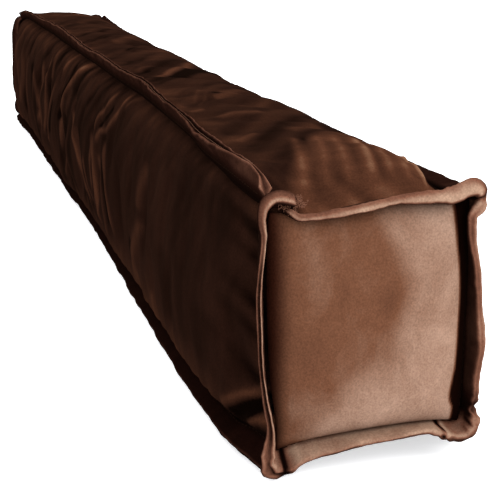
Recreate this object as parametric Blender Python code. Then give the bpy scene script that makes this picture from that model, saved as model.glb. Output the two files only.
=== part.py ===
"""Draught excluder: a long box cushion in dark velvet that lies on the floor against a door.

The cover is a box section. A raised flange, the mattress edge, is sewn along its four long
seams and round both of its end panels. The filling swells every panel between its seams and
flattens the bottom one on the floor.

Frame: +X runs along the length to the end where the flange has its open join, -Y is the front
side and +Z is up. The origin is on the floor under the middle. The tables are in millimetres.
"""

import math
from collections import namedtuple

import bmesh
import bpy
import numpy as np
from mathutils import Vector

MM = 0.001
MERGE = 0.001  # points this near each other, in millimetres, are one
SHARP_EDGE_DEGREES = 50  # an edge that turns more than this is shaded sharp

# Driving dimensions, in millimetres.
END_X = 490.0  # from the middle of the length to the seam of each end panel
STITCH_NECK = 5.0  # the last stretch before an end seam, which the stitches hold flat
PANEL_THICKNESS = 2.0  # velvet, turned in twice at the seam
SEAM_GAP = 0.3  # between two pieces that are sewn together
END_DOME = 10.5  # how far the filling pushes an end panel out at its middle
FLANGE_GAP = 0.45  # from a long seam to the nearest edge of its flange's pinched foot
END_SEAT = 1.5  # from an end seam out to the middle of its flange's foot
END_SEAT_BACK = 1.0  # how far that foot starts behind the end seam
FLANGE_STOP_X = 487.4  # where the long flanges end, just short of the end flanges

# How full a panel stands between its two seams: (1 - |s| ** SHARP) ** FULL, s from -1 to 1.
SHARP = 3.0
FULL = 0.7
DOME_FULL = 0.6

# The spans of the loft along the length, and how many steps each takes.
Span = namedtuple("Span", "start end steps")
SPANS = (
    Span(-END_X, -450, 6),
    Span(-450, 435, 58),
    Span(435, END_X, 10),
)
STEPS_ACROSS = 9  # steps across each long panel, and each way across an end panel and its flange
FLANGE_STEPS = 54  # steps along a long flange

# Where the four long seams run, one row for each station along the length.
Seam = namedtuple("Seam", "x low_front_y low_front_z top_front_y top_front_z "
                          "top_back_y top_back_z low_back_y low_back_z")
SEAMS = (
    Seam(-END_X, -42, 10, -42, 106, 42, 105, 42, 10),
    Seam(-440, -44, 8, -43, 107, 43, 102, 44, 8),
    Seam(-340, -43, 8, -43, 107, 43, 101, 44, 8),
    Seam(-190, -43, 8, -42, 107, 43, 100, 43, 8),
    Seam(-60, -44, 8, -43, 107, 43, 101, 44, 8),
    Seam(34, -42, 8, -43, 107, 42, 101, 43, 8),
    Seam(134, -42, 8, -43, 107, 43, 100, 44, 8),
    Seam(240, -44, 8, -43, 108, 43, 101, 45, 8),
    Seam(330, -45, 8, -42, 107, 43, 102, 45, 8),
    Seam(410, -46, 8, -41, 106, 42, 103, 45, 8),
    Seam(455, -44, 8, -42, 106, 41, 106, 43, 10),
    Seam(END_X, -39, 8, -42.5, 106, 39.5, 108.5, 39.5, 13),
)

# How far each panel stands out of the line between its seams, one row for each station.
# The bottom panel is flattened where it would reach below the floor.
Crown = namedtuple("Crown", "x front top back bottom")
CROWNS = (
    Crown(-END_X, 1.5, 0.0, 1.5, -1.0),
    Crown(-END_X + STITCH_NECK, 1.5, 0.0, 1.5, -1.0),
    Crown(-460, 9.0, 9.0, 9.0, 7.0),
    Crown(-420, 12.5, 14.0, 12.5, 12.0),
    Crown(-330, 13.5, 15.5, 13.5, 13.0),
    Crown(-120, 12.5, 15.5, 13.0, 13.0),
    Crown(60, 13.8, 15.5, 13.2, 13.0),
    Crown(230, 12.5, 15.0, 13.0, 13.0),
    Crown(360, 12.0, 15.0, 12.5, 13.0),
    Crown(430, 10.5, 15.0, 11.5, 12.0),
    Crown(465, 7.0, 9.5, 8.0, 6.0),
    Crown(END_X - STITCH_NECK, 2.0, -1.5, 1.0, -3.5),
    Crown(END_X, 2.0, -1.5, 1.0, -3.5),
)

# The main folds of the long panels. A fold runs from its start over its middle to its end,
# by place along X and height Z on the front and back, or by X and Y on the top. Rise is the
# height of its ridge, or the depth of its trough where it is below zero.
Fold = namedtuple("Fold", "panel start middle end rise width")
FOLDS = (
    Fold("front", (-395, 90), (-415, 55), (-421, 25), 2.0, 13),
    Fold("front", (-300, 100), (-322, 60), (-310, 25), -2.5, 16),
    Fold("front", (-205, 104), (-236, 55), (-190, 20), 2.5, 13),
    Fold("front", (-150, 100), (-205, 55), (-160, 20), -3.0, 13),
    Fold("front", (-95, 104), (-184, 50), (-120, 16), 3.0, 12),
    Fold("front", (20, 104), (-150, 50), (-75, 16), -3.0, 14),
    Fold("front", (80, 104), (-118, 52), (-50, 16), 3.5, 12),
    Fold("front", (40, 80), (-45, 45), (60, 14), -3.0, 14),
    Fold("front", (120, 88), (-2, 45), (120, 14), 3.0, 13),
    Fold("front", (200, 104), (45, 55), (140, 16), -2.5, 14),
    Fold("front", (235, 104), (88, 66), (180, 18), 3.0, 13),
    Fold("front", (300, 60), (225, 40), (262, 16), -2.0, 14),
    Fold("front", (460, 50), (474, 28), (486, 16), -4.5, 11),
    Fold("back", (-380, 100), (-350, 60), (-370, 20), -2.5, 18),
    Fold("back", (-250, 100), (-222, 55), (-240, 20), 2.5, 16),
    Fold("back", (-60, 100), (-95, 55), (-70, 20), -2.5, 18),
    Fold("back", (90, 100), (122, 55), (100, 20), 2.1, 16),
    Fold("back", (250, 100), (228, 55), (255, 20), -2.5, 18),
    Fold("back", (400, 100), (424, 60), (410, 20), 2.0, 16),
    Fold("top", (-300, -30), (-275, 0), (-300, 30), -1.8, 16),
    Fold("top", (-80, -30), (-60, 0), (-85, 30), -1.8, 18),
    Fold("top", (130, -30), (160, 0), (140, 32), -2.0, 18),
    Fold("top", (250, -26), (275, 5), (262, 32), 1.5, 15),
    Fold("top", (455, 26), (474, 20), (488, 14), 3.0, 6),
    Fold("top", (452, 36), (470, 33), (488, 28), -4.0, 8),
    Fold("top", (435, 14), (462, 8), (488, 2), 2.0, 7),
    Fold("top", (450, -10), (470, -14), (488, -19), 1.8, 7),
    Fold("top", (470, -20), (480, -22), (488, -24), -3.5, 11),
)
FOLD_POINTS = 9  # points that a fold's line is read at

# How the rim of each long flange stands off its seam, out to the side and up.
Lean = namedtuple("Lean", "x out up")
LONG_FLANGES = {
    "flange_top_front": (
        Lean(-END_X, 3.0, 10.0), Lean(-340, 1.0, 11.5), Lean(-166, 2.5, 11.0), Lean(-15, -3.5, 12.0),
        Lean(121, -2.5, 12.0), Lean(241, -4.0, 12.0), Lean(314, 0.5, 11.5), Lean(392, 3.5, 10.5),
        Lean(447, -1.0, 11.5), Lean(END_X, 2.5, 9.5),
    ),
    "flange_top_back": (
        Lean(-END_X, 6.0, 7.0), Lean(-440, 9.5, 0.5), Lean(-300, 10.5, -1.5), Lean(-100, 10.0, -2.0),
        Lean(100, 10.5, -1.5), Lean(300, 10.0, -2.0), Lean(400, 10.0, 0.5), Lean(455, 8.5, 1.5),
        Lean(END_X, 7.0, 2.5),
    ),
    "flange_low_front": (
        Lean(-END_X, 5.5, -6.5), Lean(-350, 5.0, -5.0), Lean(-193, 5.5, -5.0), Lean(-30, 4.5, -5.5),
        Lean(20, 6.5, -5.0), Lean(134, 6.0, -5.0), Lean(289, 5.0, -5.5), Lean(369, 6.5, -5.0),
        Lean(418, 7.0, -5.0), Lean(455, 6.0, -5.0), Lean(END_X, 4.5, -5.0),
    ),
    "flange_low_back": (
        Lean(-END_X, 5.5, -6.5), Lean(-300, 6.0, -5.0), Lean(-100, 5.0, -5.5), Lean(60, 6.5, -5.0),
        Lean(250, 5.0, -5.5), Lean(400, 6.5, -5.0), Lean(455, 5.5, -6.0), Lean(END_X, 4.5, -8.0),
    ),
}

# The outline of a flange, from its pinched foot to the two lips of its rim and the groove
# between them: how high each point is, as a share of the reach, and half the thickness there.
Outline = namedtuple("Outline", "share half")
FLANGE_OUTLINE = (
    Outline(0.0, 1.1),
    Outline(0.42, 1.0),
    Outline(0.80, 2.1),
    Outline(1.0, 1.3),
)
GROOVE_SHARE = 0.93

# How the rim of an end flange stands off its seam: forward along the length and outward from
# the panel. Turn counts the corners passed, from 0 at the top front one over the top to the
# back, and 4 is the top front one again.
Reach = namedtuple("Reach", "turn forward outward")
NEAR_FLANGE = (
    Reach(0.11, 8.5, 0.8), Reach(0.25, 10.5, 0.8), Reach(0.5, 11.0, 1.0), Reach(0.8, 11.0, 2.5),
    Reach(0.97, 9.5, 4.5), Reach(1.04, 9.5, 4.8), Reach(1.1, 11.0, 1.5), Reach(1.5, 11.0, 1.0),
    Reach(1.63, 10.5, 2.3), Reach(1.77, 11.0, 1.2), Reach(1.9, 10.5, 2.4), Reach(2.0, 9.0, 3.0),
    Reach(2.1, 11.0, 2.5), Reach(2.4, 11.5, 1.5), Reach(2.75, 11.0, 1.8), Reach(2.9, 11.0, 3.0),
    Reach(3.0, 11.5, 5.0), Reach(3.08, 11.0, 3.5), Reach(3.3, 11.0, 3.2), Reach(3.6, 11.0, 3.8),
    Reach(3.88, 10.0, 3.8), Reach(4.0, 9.0, 5.0), Reach(4.04, 8.0, 5.5),
)
FAR_FLANGE = (
    Reach(0.0, 9.5, 6.0), Reach(0.3, 11.0, 3.5), Reach(0.6, 10.5, 3.0), Reach(0.9, 11.0, 5.0),
    Reach(1.0, 9.5, 6.5), Reach(1.2, 11.0, 4.5), Reach(1.6, 11.0, 3.5), Reach(1.9, 10.5, 4.5),
    Reach(2.0, 9.5, 5.0), Reach(2.15, 11.0, 2.0), Reach(2.6, 11.5, 1.5), Reach(2.9, 10.5, 3.0),
    Reach(3.0, 9.5, 4.5), Reach(3.2, 11.0, 5.5), Reach(3.6, 11.0, 4.5), Reach(3.9, 10.5, 5.0),
    Reach(4.0, 9.5, 6.0),
)

# Colours: linear red, green and blue, and roughness. Velvet has no metal in it.
Finish = namedtuple("Finish", "colour roughness")
VELVET_RUN = Finish((0.030, 0.014, 0.009), 0.85)
VELVET_END = Finish((0.16, 0.075, 0.045), 0.85)
VELVET_FLANGE = Finish((0.14, 0.062, 0.038), 0.80)

# The panels in the order of a section, seen from the near end, with the seams at their ends.
PANELS = {
    "top": ("top_front", "top_back"),
    "back": ("top_back", "low_back"),
    "bottom": ("low_back", "low_front"),
    "front": ("low_front", "top_front"),
}
OUTWARD = {"top": (0, 1), "back": (1, 0), "bottom": (0, -1), "front": (-1, 0)}


def clear_scene():
    for obj in list(bpy.data.objects):
        bpy.data.objects.remove(obj, do_unlink=True)


def velvet(name, finish):
    material = bpy.data.materials.new(name)
    material.use_nodes = True
    shader = material.node_tree.nodes["Principled BSDF"]
    shader.inputs["Base Color"].default_value = (*finish.colour, 1.0)
    shader.inputs["Roughness"].default_value = finish.roughness
    shader.inputs["Metallic"].default_value = 0.0
    return material


def read_smoothly(rows, column, key, at):
    """The value of a table's column at one place, on a smooth curve through its rows."""
    keys = [getattr(row, key) for row in rows]
    values = [getattr(row, column) for row in rows]
    at = min(max(at, keys[0]), keys[-1])
    i = min(int(np.searchsorted(keys, at, side="right")) - 1, len(keys) - 2)
    width = keys[i + 1] - keys[i]
    t = (at - keys[i]) / width

    def slope(j):
        low, high = max(j - 1, 0), min(j + 1, len(keys) - 1)
        return (values[high] - values[low]) / (keys[high] - keys[low])

    start_weight = 2 * t**3 - 3 * t**2 + 1
    end_weight = 3 * t**2 - 2 * t**3
    start_slope = (t**3 - 2 * t**2 + t) * width * slope(i)
    end_slope = (t**3 - t**2) * width * slope(i + 1)
    return start_weight * values[i] + end_weight * values[i + 1] + start_slope + end_slope


def seam_point(seam, x):
    """Where a long seam crosses the section at x."""
    return Vector((
        x,
        read_smoothly(SEAMS, seam + "_y", "x", x),
        read_smoothly(SEAMS, seam + "_z", "x", x),
    ))


def fullness(s, full=FULL):
    """How full a panel stands at s, from -1 at one seam over 0 to 1 at the other."""
    return max(1 - abs(s) ** SHARP, 0.0) ** full


def fold_line(fold):
    """Points on a smooth line through a fold's start, middle and end."""
    points = []
    for t in np.linspace(0, 1, FOLD_POINTS):
        weights = ((1 - t) * (1 - 2 * t), 4 * t * (1 - t), t * (2 * t - 1))
        ends = (fold.start, fold.middle, fold.end)
        points.append([sum(w * p[axis] for w, p in zip(weights, ends)) for axis in (0, 1)])
    return np.array(points)


FOLD_LINES = [(fold, fold_line(fold)) for fold in FOLDS]


def distance_to_line(point, line):
    """The distance in the plane from a point to a line of short straight steps."""
    starts, steps = line[:-1], np.diff(line, axis=0)
    along = ((point - starts) * steps).sum(axis=1) / (steps**2).sum(axis=1)
    nearest = starts + np.clip(along, 0, 1)[:, None] * steps
    return float(np.hypot(*(point - nearest).T).min())


def fold_rise(panel, point):
    """How far the folds of a panel lift the surface at a point."""
    across = point.y if panel == "top" else point.z
    place = np.array((point.x, across))
    rise = 0.0
    for fold, line in FOLD_LINES:
        if fold.panel == panel:
            rise += fold.rise * math.exp(-((distance_to_line(place, line) / fold.width) ** 2))
    return rise


def panel_point(panel, x, s):
    """A point of a long panel: x along the length, s from -1 at its first seam to 1."""
    first, second = (seam_point(seam, x) for seam in PANELS[panel])
    flat = first.lerp(second, (s + 1) / 2)
    held = fullness(s)
    height = read_smoothly(CROWNS, panel, "x", x) * held + fold_rise(panel, flat) * held
    out_y, out_z = OUTWARD[panel]
    return Vector((x, flat.y + out_y * height, max(flat.z + out_z * height, 0.0)))


def steps_across():
    """Places across a panel, closer together towards its seams, where it turns most."""
    return [math.sin(math.pi / 2 * t) for t in np.linspace(-1, 1, STEPS_ACROSS + 1)]


def section(x):
    """The closed outline of the cushion at x, round from the top front seam."""
    return [panel_point(panel, x, s) for panel in PANELS for s in steps_across()[:-1]]


def end_point(side, u, v):
    """A point of the end face without its dome: u from front to back, v from low to top."""
    x = side * END_X
    top, low = panel_point("top", x, u), panel_point("bottom", x, -u)
    front, back = panel_point("front", x, v), panel_point("back", x, -v)
    across, up = (u + 1) / 2, (v + 1) / 2
    low_line = seam_point("low_front", x).lerp(seam_point("low_back", x), across)
    top_line = seam_point("top_front", x).lerp(seam_point("top_back", x), across)
    return low.lerp(top, up) + front.lerp(back, across) - low_line.lerp(top_line, up)


def end_grid(side, stand_off):
    """The domed end face as rows of points, stand_off further out than the end seam."""
    rows = []
    for v in steps_across():
        row = []
        for u in steps_across():
            dome = END_DOME * fullness(u, DOME_FULL) * fullness(v, DOME_FULL)
            row.append(end_point(side, u, v) + Vector((side * (dome + stand_off), 0, 0)))
        rows.append(row)
    return rows


def add_grid(mesh, rows):
    """Faces over rows of points."""
    verts = [[mesh.verts.new(point * MM) for point in row] for row in rows]
    faces = []
    for low, high in zip(verts, verts[1:]):
        for corners in zip(low, low[1:], high[1:], high):
            faces.append(mesh.faces.new(corners))
    return faces


def add_tube(mesh, loops, closed=False):
    """Faces between loops of points, and from the last loop to the first if it is closed."""
    rings = [[mesh.verts.new(point * MM) for point in loop] for loop in loops]
    pairs = list(zip(rings, rings[1:] + rings[:1])) if closed else list(zip(rings, rings[1:]))
    for first, second in pairs:
        for i, corner in enumerate(first):
            j = (i + 1) % len(first)
            mesh.faces.new((corner, first[j], second[j], second[i]))
    return rings


def finish_piece(name, mesh, material):
    """Turns a mesh being built into a named object with its faces pointing out."""
    bmesh.ops.remove_doubles(mesh, verts=mesh.verts, dist=MERGE * MM)
    bmesh.ops.recalc_face_normals(mesh, faces=mesh.faces)
    bmesh.ops.triangulate(mesh, faces=mesh.faces)
    data = bpy.data.meshes.new(name)
    mesh.to_mesh(data)
    mesh.free()
    data.materials.append(material)
    data.shade_smooth()
    data.set_sharp_from_angle(angle=math.radians(SHARP_EDGE_DEGREES))
    piece = bpy.data.objects.new(name, data)
    bpy.context.scene.collection.objects.link(piece)
    return piece


def add_body(material):
    """The filled cushion inside its long panels, closed at both ends by the domed filling."""
    mesh = bmesh.new()
    stations = [SPANS[0].start]
    for span in SPANS:
        stations += list(np.linspace(span.start, span.end, span.steps + 1)[1:])
    add_tube(mesh, [section(x) for x in stations])
    for side in (-1, 1):
        add_grid(mesh, end_grid(side, 0.0))
    return finish_piece("bolster_body", mesh, material)


def add_end_panel(name, side, material):
    """A cloth panel that lies on the domed end, extruded to its thickness."""
    mesh = bmesh.new()
    faces = add_grid(mesh, end_grid(side, SEAM_GAP))
    extruded = bmesh.ops.extrude_face_region(mesh, geom=faces, use_keep_orig=True)
    moved = [item for item in extruded["geom"] if isinstance(item, bmesh.types.BMVert)]
    bmesh.ops.translate(mesh, verts=moved, vec=Vector((side * PANEL_THICKNESS * MM, 0, 0)))
    return finish_piece(name, mesh, material)


def flange_outline(foot, reach, along):
    """One cross-section of a flange: foot to rim along reach, thick across it."""
    across = along.cross(reach).normalized()
    left = [foot + reach * row.share + across * row.half for row in FLANGE_OUTLINE]
    right = [foot + reach * row.share - across * row.half for row in FLANGE_OUTLINE]
    return left + [foot + reach * GROOVE_SHARE] + right[::-1]


def add_flange(name, feet, reaches, closed, material):
    """A flange through a row of feet, each with the reach of its rim."""
    middles = [foot + reach / 2 for foot, reach in zip(feet, reaches)]
    loops = []
    for i, (foot, reach) in enumerate(zip(feet, reaches)):
        after = middles[(i + 1) % len(middles)] if closed else middles[min(i + 1, len(feet) - 1)]
        before = middles[i - 1] if closed else middles[max(i - 1, 0)]
        loops.append(flange_outline(foot, reach, (after - before).normalized()))
    mesh = bmesh.new()
    rings = add_tube(mesh, loops, closed)
    if not closed:
        mesh.faces.new(rings[0])
        mesh.faces.new(rings[-1])
    return finish_piece(name, mesh, material)


def add_long_flange(name, material):
    rows = LONG_FLANGES[name]
    seam = name.replace("flange_", "")
    side = -1 if seam.endswith("front") else 1
    feet, reaches = [], []
    for x in np.linspace(-FLANGE_STOP_X, FLANGE_STOP_X, FLANGE_STEPS + 1):
        out = side * read_smoothly(rows, "out", "x", x)
        up = read_smoothly(rows, "up", "x", x)
        reach = Vector((0, out, up))
        bisector = Vector((0, side, 1 if seam.startswith("top") else -1)).normalized()
        tipped = reach.normalized().cross(bisector).length
        feet.append(seam_point(seam, x) + bisector * (FLANGE_GAP + FLANGE_OUTLINE[0].half * tipped))
        reaches.append(reach)
    return add_flange(name, feet, reaches, False, material)


def end_seam_stations():
    """Turn, panel, place on it and outward direction, round the seam of an end panel."""
    panels = list(PANELS)
    stations = []
    for number, panel in enumerate(panels):
        outward = Vector((0, *OUTWARD[panel]))
        for s in steps_across():
            stations.append((number + (s + 1) / 2, panel, s, outward))
        corner = (outward + Vector((0, *OUTWARD[panels[(number + 1) % 4]]))).normalized()
        stations.append((number + 1, panel, 1.0, corner))
    return stations


def add_end_flange(name, side, rows, material):
    """The flange round an end panel: closed, or open where its table stops short of a turn."""
    closed = rows[-1].turn - rows[0].turn == 4
    x = side * END_X
    stations = end_seam_stations()
    if closed:
        picked = stations
    else:
        again = [(turn + 4, panel, s, outward) for turn, panel, s, outward in stations]
        picked = [row for row in stations + again if rows[0].turn <= row[0] <= rows[-1].turn]
    feet, reaches = [], []
    for turn, panel, s, outward in picked:
        seam = panel_point(panel, x, s)
        feet.append(seam + outward * END_SEAT - Vector((side * END_SEAT_BACK, 0, 0)))
        forward = Vector((side * read_smoothly(rows, "forward", "turn", turn), 0, 0))
        reaches.append(forward + outward * read_smoothly(rows, "outward", "turn", turn))
    return add_flange(name, feet, reaches, closed, material)


def main():
    clear_scene()
    run = velvet("velvet_run", VELVET_RUN)
    end = velvet("velvet_end", VELVET_END)
    flange = velvet("velvet_flange", VELVET_FLANGE)
    add_body(run)
    add_end_panel("end_panel_near", 1, end)
    add_end_panel("end_panel_far", -1, end)
    add_end_flange("flange_end_near", 1, NEAR_FLANGE, flange)
    add_end_flange("flange_end_far", -1, FAR_FLANGE, flange)
    for name in LONG_FLANGES:
        add_long_flange(name, flange)


main()
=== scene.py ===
"""Draught excluder in dark brown cotton velvet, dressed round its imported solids.

Each operator makes one piece, or one group of like pieces, and the last one sets up the studio.
The frame is in metres: +X runs along the length to the end with the open join, -Y is the front
side and +Z is up, with the floor at 0. The tables below are in millimetres.
"""

import math
from collections import namedtuple

import bpy
import numpy as np
from mathutils import Matrix, Vector


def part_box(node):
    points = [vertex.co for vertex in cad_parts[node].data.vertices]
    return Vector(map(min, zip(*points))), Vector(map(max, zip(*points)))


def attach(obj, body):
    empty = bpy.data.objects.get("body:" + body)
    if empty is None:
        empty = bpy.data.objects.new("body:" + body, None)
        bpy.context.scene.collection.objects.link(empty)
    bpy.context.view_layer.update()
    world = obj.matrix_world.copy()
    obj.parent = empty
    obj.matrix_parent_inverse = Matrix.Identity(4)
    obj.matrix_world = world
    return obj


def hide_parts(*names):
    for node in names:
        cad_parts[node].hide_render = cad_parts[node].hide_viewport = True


bl_info = {
    "name": "Draught Excluder",
    "version": (1, 0, 0),
    "blender": (4, 5, 0),
    "location": "3D View > Sidebar > Excluder",
    "description": "Dresses the draught excluder in velvet, pleats, flanges and stitches",
    "category": "Object",
}

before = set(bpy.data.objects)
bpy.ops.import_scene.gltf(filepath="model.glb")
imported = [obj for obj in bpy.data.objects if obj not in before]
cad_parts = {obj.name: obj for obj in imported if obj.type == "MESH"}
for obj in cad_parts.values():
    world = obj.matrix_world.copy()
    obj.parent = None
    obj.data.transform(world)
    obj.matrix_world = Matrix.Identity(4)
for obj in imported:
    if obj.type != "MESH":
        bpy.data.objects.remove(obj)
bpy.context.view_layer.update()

MM = 0.001
MERGE = 0.00001  # points this near each other, in metres, are one

# ---------------------------------------------------------------- tables of shape, millimetres

# Where the four long seams run, as in the solids: x, then y and z of each seam, whose columns
# after x are named first.
SEAM_COLUMNS = {"low_front": (0, 1), "top_front": (2, 3), "top_back": (4, 5), "low_back": (6, 7)}
SEAMS = (
    (-490, -42, 10, -42, 106, 42, 105, 42, 10),
    (-440, -44, 8, -43, 107, 43, 102, 44, 8),
    (-340, -43, 8, -43, 107, 43, 101, 44, 8),
    (-190, -43, 8, -42, 107, 43, 100, 43, 8),
    (-60, -44, 8, -43, 107, 43, 101, 44, 8),
    (34, -42, 8, -43, 107, 42, 101, 43, 8),
    (134, -42, 8, -43, 107, 43, 100, 44, 8),
    (240, -44, 8, -43, 108, 43, 101, 45, 8),
    (330, -45, 8, -42, 107, 43, 102, 45, 8),
    (410, -46, 8, -41, 106, 42, 103, 45, 8),
    (455, -44, 8, -42, 106, 41, 106, 43, 10),
    (490, -39, 8, -42.5, 106, 39.5, 108.5, 39.5, 13),
)

# How the rim of each long flange stands off its seam in the solid: x, out to the side, up and,
# if its two lips part or meet, how thick the rim is against the rest.
LONG_FLANGES = {
    "top_front": (
        (-490, 1.5, 8.5, 0.9), (-440, -1.5, 12.5, 1.0), (-291, -3.8, 14.5, 1.1),
        (-153, -5.2, 15.0, 1.2), (-15, -3.4, 14.5, 1.2), (76, -4.4, 15.0, 1.2),
        (132, -3.6, 15.0, 1.0), (214, -3.9, 15.0, 1.3), (260, -2.5, 15.0, 1.3),
        (306, 0.0, 15.0, 0.8), (325, 0.6, 15.0, 0.75), (352, 2.2, 15.0, 1.3),
        (398, 4.8, 14.5, 2.0), (430, 4.9, 14.5, 1.7), (458, 2.0, 15.0, 0.8),
        (476, 1.2, 14.4, 0.7), (483, 0.7, 12.8, 0.7), (486, 0.4, 11.2, 1.2),
        (490.5, -0.6, 5.0, 3.1),
    ),
    "top_back": (
        (-490, 6.0, 5.0), (-440, 9.5, 0.5), (-300, 10.5, -1.5), (-100, 10.0, -2.0),
        (100, 10.5, -1.5), (300, 10.0, -2.0), (400, 10.0, 0.0), (455, 8.5, -0.8),
        (490, 7.0, -1.0),
    ),
    "low_front": (
        (-490, 8.0, -7.5), (-440, 7.0, -6.0), (-350, 6.0, -5.5), (-193, 6.0, -5.5), (-100, 4.8, -5.5),
        (-30, 4.6, -5.5), (20, 5.0, -5.5), (80, 5.6, -5.5), (134, 6.2, -5.5), (185, 6.8, -5.5),
        (240, 6.8, -5.5), (289, 7.2, -5.5), (369, 7.0, -5.5), (400, 6.4, -5.5), (425, 6.6, -5.5),
        (455, 8.0, -4.8), (476, 6.8, -4.8), (490, 4.6, -5.0),
    ),
    "low_back": (
        (-490, 5.5, -6.5), (-300, 6.0, -5.0), (-100, 5.0, -5.5), (60, 6.5, -5.0),
        (250, 5.0, -5.5), (400, 6.5, -5.0), (455, 5.5, -6.0), (490, 4.5, -8.0),
    ),
}

# How the rim of an end flange stands off its seam. Turn counts the corners passed, from 0 at
# the top front one over the top to the back. Then come: forward along the length, outward from
# the panel, how far the foot is lifted off the seam, and how thick the rim is against the rest.
NEAR_FLANGE = (
    (0.07, 4.5, 4.2, -1.0, 0.7), (0.09, 6.5, 3.2, -1.4, 0.95), (0.12, 8.2, 1.9, -1.6, 1.05),
    (0.15, 9.2, 1.9, -1.6, 1.05), (0.20, 9.8, 2.1, -1.2, 1.05), (0.30, 10.5, 2.2, -0.6, 1.15),
    (0.5, 11.0, 2.6, -0.6, 1.2), (0.7, 11.0, 3.4, -0.6, 1.55), (0.78, 10.8, 4.2, -0.6, 1.8),
    (0.85, 10.4, 5.4, -0.6, 2.25), (0.90, 10.2, 5.5, -0.4, 2.4), (0.95, 9.8, 5.2, 0.2, 2.4),
    (0.985, 9.6, 4.6, 0.8, 2.5), (1.006, 9.2, 3.9, 1.0, 2.3), (1.02, 8.0, 2.8, 1.0, 1.4),
    (1.036, 9.4, 1.6, 0.8, 1.7), (1.056, 10.2, -0.8, 0.5, 1.5), (1.08, 10.8, -2.6, 0.4, 1.3),
    (1.17, 11.0, -2.2, 0.2, 1.15), (1.28, 11.0, -0.2, 0.6, 1.1), (1.42, 11.0, 1.0, 1.0, 1.1),
    (1.62, 10.5, 2.7, 1.5, 1.2), (1.77, 11.0, 1.4, 1.5, 1.1), (1.88, 9.5, 1.8, 1.5, 1.1),
    (1.925, 8.0, 1.4, 1.5, 1.0), (1.96, 9.0, 3.2, 1.5, 1.5), (2.0, 9.5, 4.2, 1.5, 1.7),
    (2.05, 9.5, 4.2, 1.5, 1.6), (2.10, 10.5, 3.6, 1.5, 1.2), (2.13, 10.8, 2.8, 1.5, 1.1),
    (2.17, 11.0, 1.2, 1.5, 1.0), (2.21, 11.0, 0.3, 1.5, 0.9), (2.3, 11.4, 0.4, 1.5, 0.9),
    (2.4, 11.5, 0.9, 1.5, 0.8), (2.52, 11.2, 0.1, 1.5, 0.9), (2.61, 11.2, 0.5, 1.5, 0.9),
    (2.72, 11.0, 1.8, 1.5, 0.8), (2.86, 11.0, 2.4, 1.5, 0.8), (2.91, 11.2, 3.6, 1.5, 0.7),
    (2.94, 11.4, 5.4, 1.5, 0.7), (2.96, 10.4, 5.6, 1.5, 1.0), (2.98, 12.6, 5.8, 1.5, 1.8),
    (3.005, 14.0, 6.4, 1.5, 2.1), (3.04, 13.2, 5.3, 1.5, 1.9), (3.09, 11.5, 4.2, 1.5, 1.2),
    (3.3, 11.0, 3.4, 1.5, 0.8), (3.6, 11.0, 3.9, 1.5, 0.75), (3.83, 10.5, 2.4, 1.5, 0.75),
    (3.92, 10.0, 1.8, 1.5, 0.85), (3.97, 9.6, 3.4, 1.4, 1.2), (4.01, 9.2, 5.6, 1.4, 1.6),
    (4.05, 8.6, 6.5, 1.6, 1.8), (4.09, 7.8, 5.9, 1.6, 1.7), (4.13, 6.8, 4.5, 1.4, 1.3),
)

# The painted light along the near flange: turn, how much of it the lips get, that of its sides
# against them, and how much more the lip next to the panel gets of it than the other.
NEAR_TONES = (
    (0.07, 0.5, 0.8, 0.2), (0.2, 0.6, 1.15, 0.45), (0.8, 0.64, 1.2, 0.45), (0.95, 0.75, 1.1, 0.4),
    (0.99, 0.8, 1.1, 0.75), (1.008, 0.4, 0.8, 0.75), (1.018, 0.12, 0.4, 0), (1.03, 0.7, 0.8, 0),
    (1.08, 0.6, 0.5, -0.2), (1.3, 0.55, 0.6, -0.1), (1.8, 0.55, 0.6, -0.1), (1.93, 0.2, 0.4, 0),
    (1.96, 0.6, 0.8, 0), (2.0, 0.6, 0.7, 0.2), (2.08, 0.6, 0.6, 0.2), (2.105, 0.85, 1.1, 0.2),
    (2.12, 0.55, 0.06, 0), (2.136, 0.55, 0.06, 0), (2.15, 0.85, 1.15, 0.3), (2.2, 0.7, 1.1, 0.4),
    (2.28, 0.6, 1.2, 0.3), (2.9, 0.55, 1.2, 0.3), (2.94, 0.3, 0.9, 0.2), (2.955, 0.03, 0.1, 0),
    (2.965, 0.03, 0.3, 0), (2.985, 0.65, 0.8, 0), (3.04, 0.75, 0.7, 0), (3.1, 0.75, 0.4, 0.2),
    (3.2, 0.75, 0.4, 0.35), (3.85, 0.7, 0.5, 0.35), (4.0, 0.5, 0.6, 0.75), (4.13, 0.4, 0.6, 0.75),
)

# How deep the groove between the two lips of the near flange is, by turn, and so how much painted
# shade it holds.
GROOVES = (
    (0.0, 0.1), (0.9, 0.05), (1.0, 0.15), (1.05, 0.0), (1.1, 0.0), (2.8, 0.0),
    (2.95, 0.1), (3.0, 0.6), (3.2, 0.9), (3.7, 0.9), (3.92, 0.2), (4.2, 0.1),
)

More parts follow.
